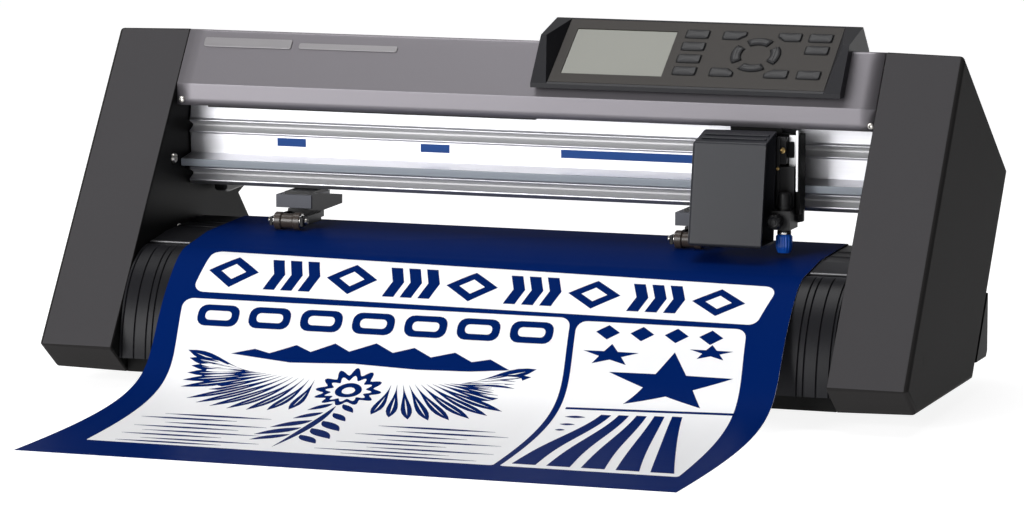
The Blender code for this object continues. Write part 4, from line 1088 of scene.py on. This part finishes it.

# The slide's window is a thin plate in the shadow black: painted shadow in place of its opening.
for name, corners, radius, low, high, edge, finish, slot in (
        ("body", rectangle(203.4, 206.2, 146.0, 198.0), 0.8, -44.0, -35.6, 0.6, matt_black, "black_plastic"),
        ("head", rectangle(205.9, 211.0, 177.5, 198.0), 0.8, -43.8, -35.8, 0.6, matt_black, "black_plastic"),
        ("plate", rectangle(211.2, 218.4, 160.0, 199.0), 0.8, -37.4, -35.6, 0.4, zinc_plate, "aluminium"),
        ("window", rectangle(210.6, 215.6, 182.0, 194.0), 0.8, -37.75, -37.3, 0.15, painted_shadow_black, "black_plastic"),
        ("bar", rectangle(219.0, 221.0, 158.0, 203.5), 0.5, -46.5, -44.6, 0.4, zinc_plate, "aluminium"),
        ("bracket", [(213.0, 133.0), (222.5, 135.0), (222.5, 144.0), (219.5, 147.0), (219.5, 158.0), (213.0, 158.0)],
         0.7, -37.6, -33.0, 0.5, matt_black, "black_plastic")):
    block(f"slide_{name}", corners, radius, low, high, edge, finish, "carriage", slot, axis="Y")
screw("slide_screw_high", (208.5, -44.1, 188.0), "Y", 2.4, "carriage", brass, out=-1.0)
screw("slide_screw_low", (204.8, -44.3, 174.5), "Y", 1.4, "carriage", brass, out=-1.0)


# ------------------------------------------------------------------ tool
# The blade holder stands in the arm's clamp: a black barrel with a raised collar and a steel ring, and a blue cap
# at the tip. The clamp is drawn up by a knob with eight shallow scallops.

TOOL_AXIS = (212.4, -52.0, 0.0)
BARREL = [(0.0, 128.2), (4.6, 128.2), (5.0, 129.0), (5.0, 146.0), (5.3, 146.4), (5.3, 148.2), (5.0, 148.6),
          (5.0, 155.6), (4.4, 157.4), (3.4, 158.0), (0.0, 158.0)]
turned_piece("holder_barrel", BARREL, TOOL_AXIS, "Z", matt_black, "tool", steps=48,
             node="cutter_holder")
HOLDER_RING = [(0.0, 127.2), (5.1, 127.2), (5.3, 127.6), (5.3, 128.9), (5.1, 129.2), (0.0, 129.2)]
turned_piece("holder_ring", HOLDER_RING, TOOL_AXIS, "Z", bright_steel, "tool", steps=40)

blue_cap = moulded("blue_cap", (0.008, 0.115, 0.62), 0.3, grain=1800.0, bump=0.05, coat=0.2)
CAP = [(0.0, 113.4, 0), (4.4, 113.4, 0), (4.9, 113.8, 0), (5.1, 114.6, 0), (5.8, 116.0, 1), (6.2, 118.0, 1),
       (6.2, 119.0, 1), (6.2, 125.6, 1), (5.1, 126.8, 1), (4.6, 127.3, 0), (0.0, 127.3, 0)]
KNOB = [(0.0, 4.0, 0), (3.0, 4.0, 0), (5.4, 3.4, 1), (5.8, 2.4, 1), (5.8, -2.8, 1), (5.4, -3.6, 1),
        (4.2, -4.0, 0), (3.2, -3.2, 0), (2.2, -3.2, 0), (1.8, -3.8, 0), (0.0, -3.9, 0)]
add_piece("holder_blue_cap", turned(CAP, TOOL_AXIS, "Z", 96, 16, 0.35), blue_cap, "tool", 50.0)
add_piece("clamp_knob_fluted", turned(KNOB, (208.5, -64.4, 137.5), "Y", 96, 8, 0.7), matt_black, "clamp_knob",
          50.0, node="clamp_knob")


# ------------------------------------------------------------------ pinch rollers
# Each unit's rubber roller has a waist and a bright rim at either end, and turns on a steel axle held by the arm's
# two legs. A screw on the block's front locks it on the rail, and a coil spring presses the arm down.

def coil(centre, radius, wire, low, high, turns, sides=8):
    """A round wire along a helix: each cross-section's circle lies across the helix's own direction."""
    t = np.linspace(0.0, 1.0, int(turns * 20) + 1)
    angle = 2.0 * math.pi * turns * t
    out = np.column_stack((np.cos(angle), np.sin(angle), np.zeros_like(t)))
    spine = (*centre, low) + radius * out + np.outer(t, (0.0, 0.0, high - low))
    ahead = np.gradient(spine, axis=0)
    up = np.cross(ahead / np.linalg.norm(ahead, axis=1)[:, None], out)
    turn = np.linspace(0.0, 2.0 * math.pi, sides, endpoint=False)[None, :, None]
    return capped_tube(spine[:, None] + wire * (np.cos(turn) * out[:, None] + np.sin(turn) * up[:, None]))


roller_brown = moulded("roller_urethane", (0.055, 0.042, 0.034), 0.32, grain=900.0, bump=0.1)
TYRE_HALF = [(0.0, -10.7), (4.2, -10.7), (6.2, -10.5), (6.7, -9.9), (6.7, -5.4), (5.6, -4.4)]
TYRE = [*TYRE_HALF, *((r, -h) for r, h in TYRE_HALF[::-1])]
RIM = np.array([(4.4, 10.55), (4.4, 10.95), (5.4, 11.0), (5.9, 10.75), (5.9, 10.45), (4.4, 10.55)])
for side, middle in PINCH_MIDDLES.items():
    axle, body = (middle, -38.0, 117.75), f"pinch_roller_{side}"
    turned_piece(f"{body}_tyre", TYRE, axle, "X", roller_brown, body, steps=48, node=body)
    for number, (out, x, radius) in enumerate(((-1.0, middle - 15.6, 2.2), (1.0, middle + 14.2, 2.4))):
        turned_piece(f"{body}_rim_{number}", RIM * (1.0, out), axle, "X", bright_steel, body, steps=40)
        screw(f"pinch_{side}_axle_end_{number}", (x, *axle[1:]), "X", radius, f"pinch_arm_{side}", out=out)
    add_piece(f"pinch_spring_{side}", coil((middle + 7.5, -3.0), 2.4, 0.45, 124.5, 127.0, 1.5), bright_steel,
              f"pinch_block_{side}", 60.0)


# ------------------------------------------------------------------ grit drum, feed drive and carriage belt
# Three knurled zones grip the sheet. A toothed belt drives the drum at its left end, and another runs behind the rail
# from the motor's pulley on the right to the idler on the left, with the carriage clamped to it.

def knurled_surface(group, given, spot):
    """Knurled steel: points of a fine cell pattern in the height, rougher between them, and darker there as painted
    shade in the hollows.
    """
    cell = node_of(group, "TexVoronoi", {"Vector": spot, "Scale": given["Cell"]}).outputs["Distance"]
    soft = mapped(group, cell, 1.15, 0.6)
    rough = sum_of(group, "MULTIPLY_ADD", cell, 0.3, given["Roughness"])
    return toned(group, given["Colour"], soft), rough, soft


GRIT = surface_group("knurled_grit", knurled_surface, Colour=(0.55, 0.54, 0.52, 1.0), Cell=900.0, Roughness=0.35)
knurled = grouped_material("knurled_steel", GRIT, {}, 0.6, 0.0004, metallic=1.0)
DRUM_LINE = (0.0, -38.0, 103.05)
BAR = [(0.0, -287.7), (3.4, -287.7), (4.0, -287.1), (4.0, 282.4), (3.4, 283.0), (0.0, 283.0)]
turned_piece("grit_shaft_bar", BAR, DRUM_LINE, "X", bright_steel, "grit_drum", node="grit_shaft")
for number, (x0, x1) in enumerate(((-208.0, -170.0), (-95.0, -57.0), (18.0, 200.0))):
    zone = [(3.9, x0), (6.5, x0), (7.0, x0 + 0.5), (7.0, x1 - 0.5), (6.5, x1), (3.9, x1), (3.9, x0)]
    turned_piece(f"grit_zone_{number}", zone, DRUM_LINE, "X", knurled, "grit_drum", steps=40)

aluminium = moulded("turned_aluminium", (0.70, 0.71, 0.72), 0.3, grain=2200.0, change=0.15, bump=0.04, metallic=1.0)
PULLEYS = (("feed_pulley", "grit_drum", DRUM_LINE, "X", 15.0, -294.0, -288.0, 40, 0.7),
           ("feed_motor_pulley", "feed_motor_pulley", (0.0, -80.0, 80.0), "X", 6.0, -294.0, -288.0, 16, 0.6),
           ("drive_pulley", "drive_pulley", (254.0, 0.0, 184.0), "Y", 9.0, 30.5, 37.5, 24, 0.6),
           ("idler_pulley", "idler_pulley", (-254.0, 0.0, 184.0), "Y", 9.0, 30.5, 37.5, 24, 0.6))
for node, body, centre, axis, radius, low, high, teeth, depth in PULLEYS:
    profile = [(0.0, low, 0), (radius, low, 0), (radius, low + 0.8, 0), (radius - 1.2, low + 0.9, 1),
               (radius - 1.2, high - 0.9, 1), (radius, high - 0.8, 0), (radius, high, 0), (0.0, high, 0)]
    add_piece(f"{node}_toothed", turned(profile, centre, axis, teeth * 8, teeth, depth), aluminium, body,
              node=node)


def belt(first, second, radius_1, radius_2, low, high, thick, axis):
    """A flat belt round two pulleys in the plane across their axis. Its line is the outer hull of the two circles:
    each arc ends where the common tangent, turned by acos((r1 - r2) / distance), touches it."""
    gap = np.subtract(second, first)
    base, half = math.atan2(gap[1], gap[0]), math.acos((radius_1 - radius_2) / np.linalg.norm(gap))
    near, far = np.linspace(base + half, base + 2 * math.pi - half, 25), np.linspace(base - half, base + half, 25)
    inner, outer = (
        np.vstack([centre + (radius + extra) * np.column_stack((np.cos(turn), np.sin(turn)))
                   for centre, radius, turn in ((first, radius_1, near), (second, radius_2, far))])
        for extra in (0.0, thick))
    return looped_tube([level(line, depth, axis)
                        for line, depth in ((inner, low), (inner, high), (outer, high), (outer, low))])


add_piece("feed_belt", belt(DRUM_LINE[1:], (-80.0, 80.0), 13.9, 4.9, -293.0, -289.0, 1.0, "X"), belt_rubber,
          "machine", 50.0)
add_piece("carriage_belt", belt((-254.0, 184.0), (254.0, 184.0), 7.9, 7.9, 31.5, 36.5, 1.0, "Y"), belt_rubber,
          "machine", 50.0)


# ------------------------------------------------------------------ electronics and rear sockets
# Chips and capacitors stand on the board inside the right cover. The mains inlet has three blade pins in its mouth,
# and the switch is marked by a shallow rib on each half.

BOARD_FACE = 291.7
CHIPS = ((-40, 120, 22, 22, 2.0), (5, 125, 14, 20, 2.0), (-30, 82, 30, 12, 3.0), (20, 85, 12, 12, 2.0))
for number, (y, z, width, height, deep) in enumerate(CHIPS):
    block(f"board_chip_{number}", rectangle(y - width / 2, y + width / 2, z - height / 2, z + height / 2), 0.6,
          BOARD_FACE, BOARD_FACE + 0.2 + deep, 0.3, matt_black, "machine", "black_plastic")
CAN = [(0.0, 0.0), (4.0, 0.0), (4.0, 8.7), (3.6, 9.3), (3.2, 9.1), (0.0, 9.1)]
for number, (y, z) in enumerate(((-2, 75), (32, 120), (32, 105), (-52, 100))):
    turned_piece(f"board_capacitor_{number}", CAN, (BOARD_FACE, y, z), "X", aluminium, "machine", steps=24)
for number, (x, z) in enumerate(((296.0, 38.6), (301.0, 42.0), (306.0, 38.6))):
    block(f"inlet_pin_{number}", rectangle(x - 1.0, x + 1.0, z - 2.0, z + 2.0), 0.3, 66.0, 74.5, 0.3, bright_steel,
          "machine", "steel", axis="Y")
for number, z in enumerate((35.5, 44.5)):
    block(f"switch_rib_{number}", rectangle(321.5, 326.5, z - 0.6, z + 0.6), 0.3, 77.2, 78.1, 0.3, matt_black,
          "power_switch", "black_plastic", axis="Y")
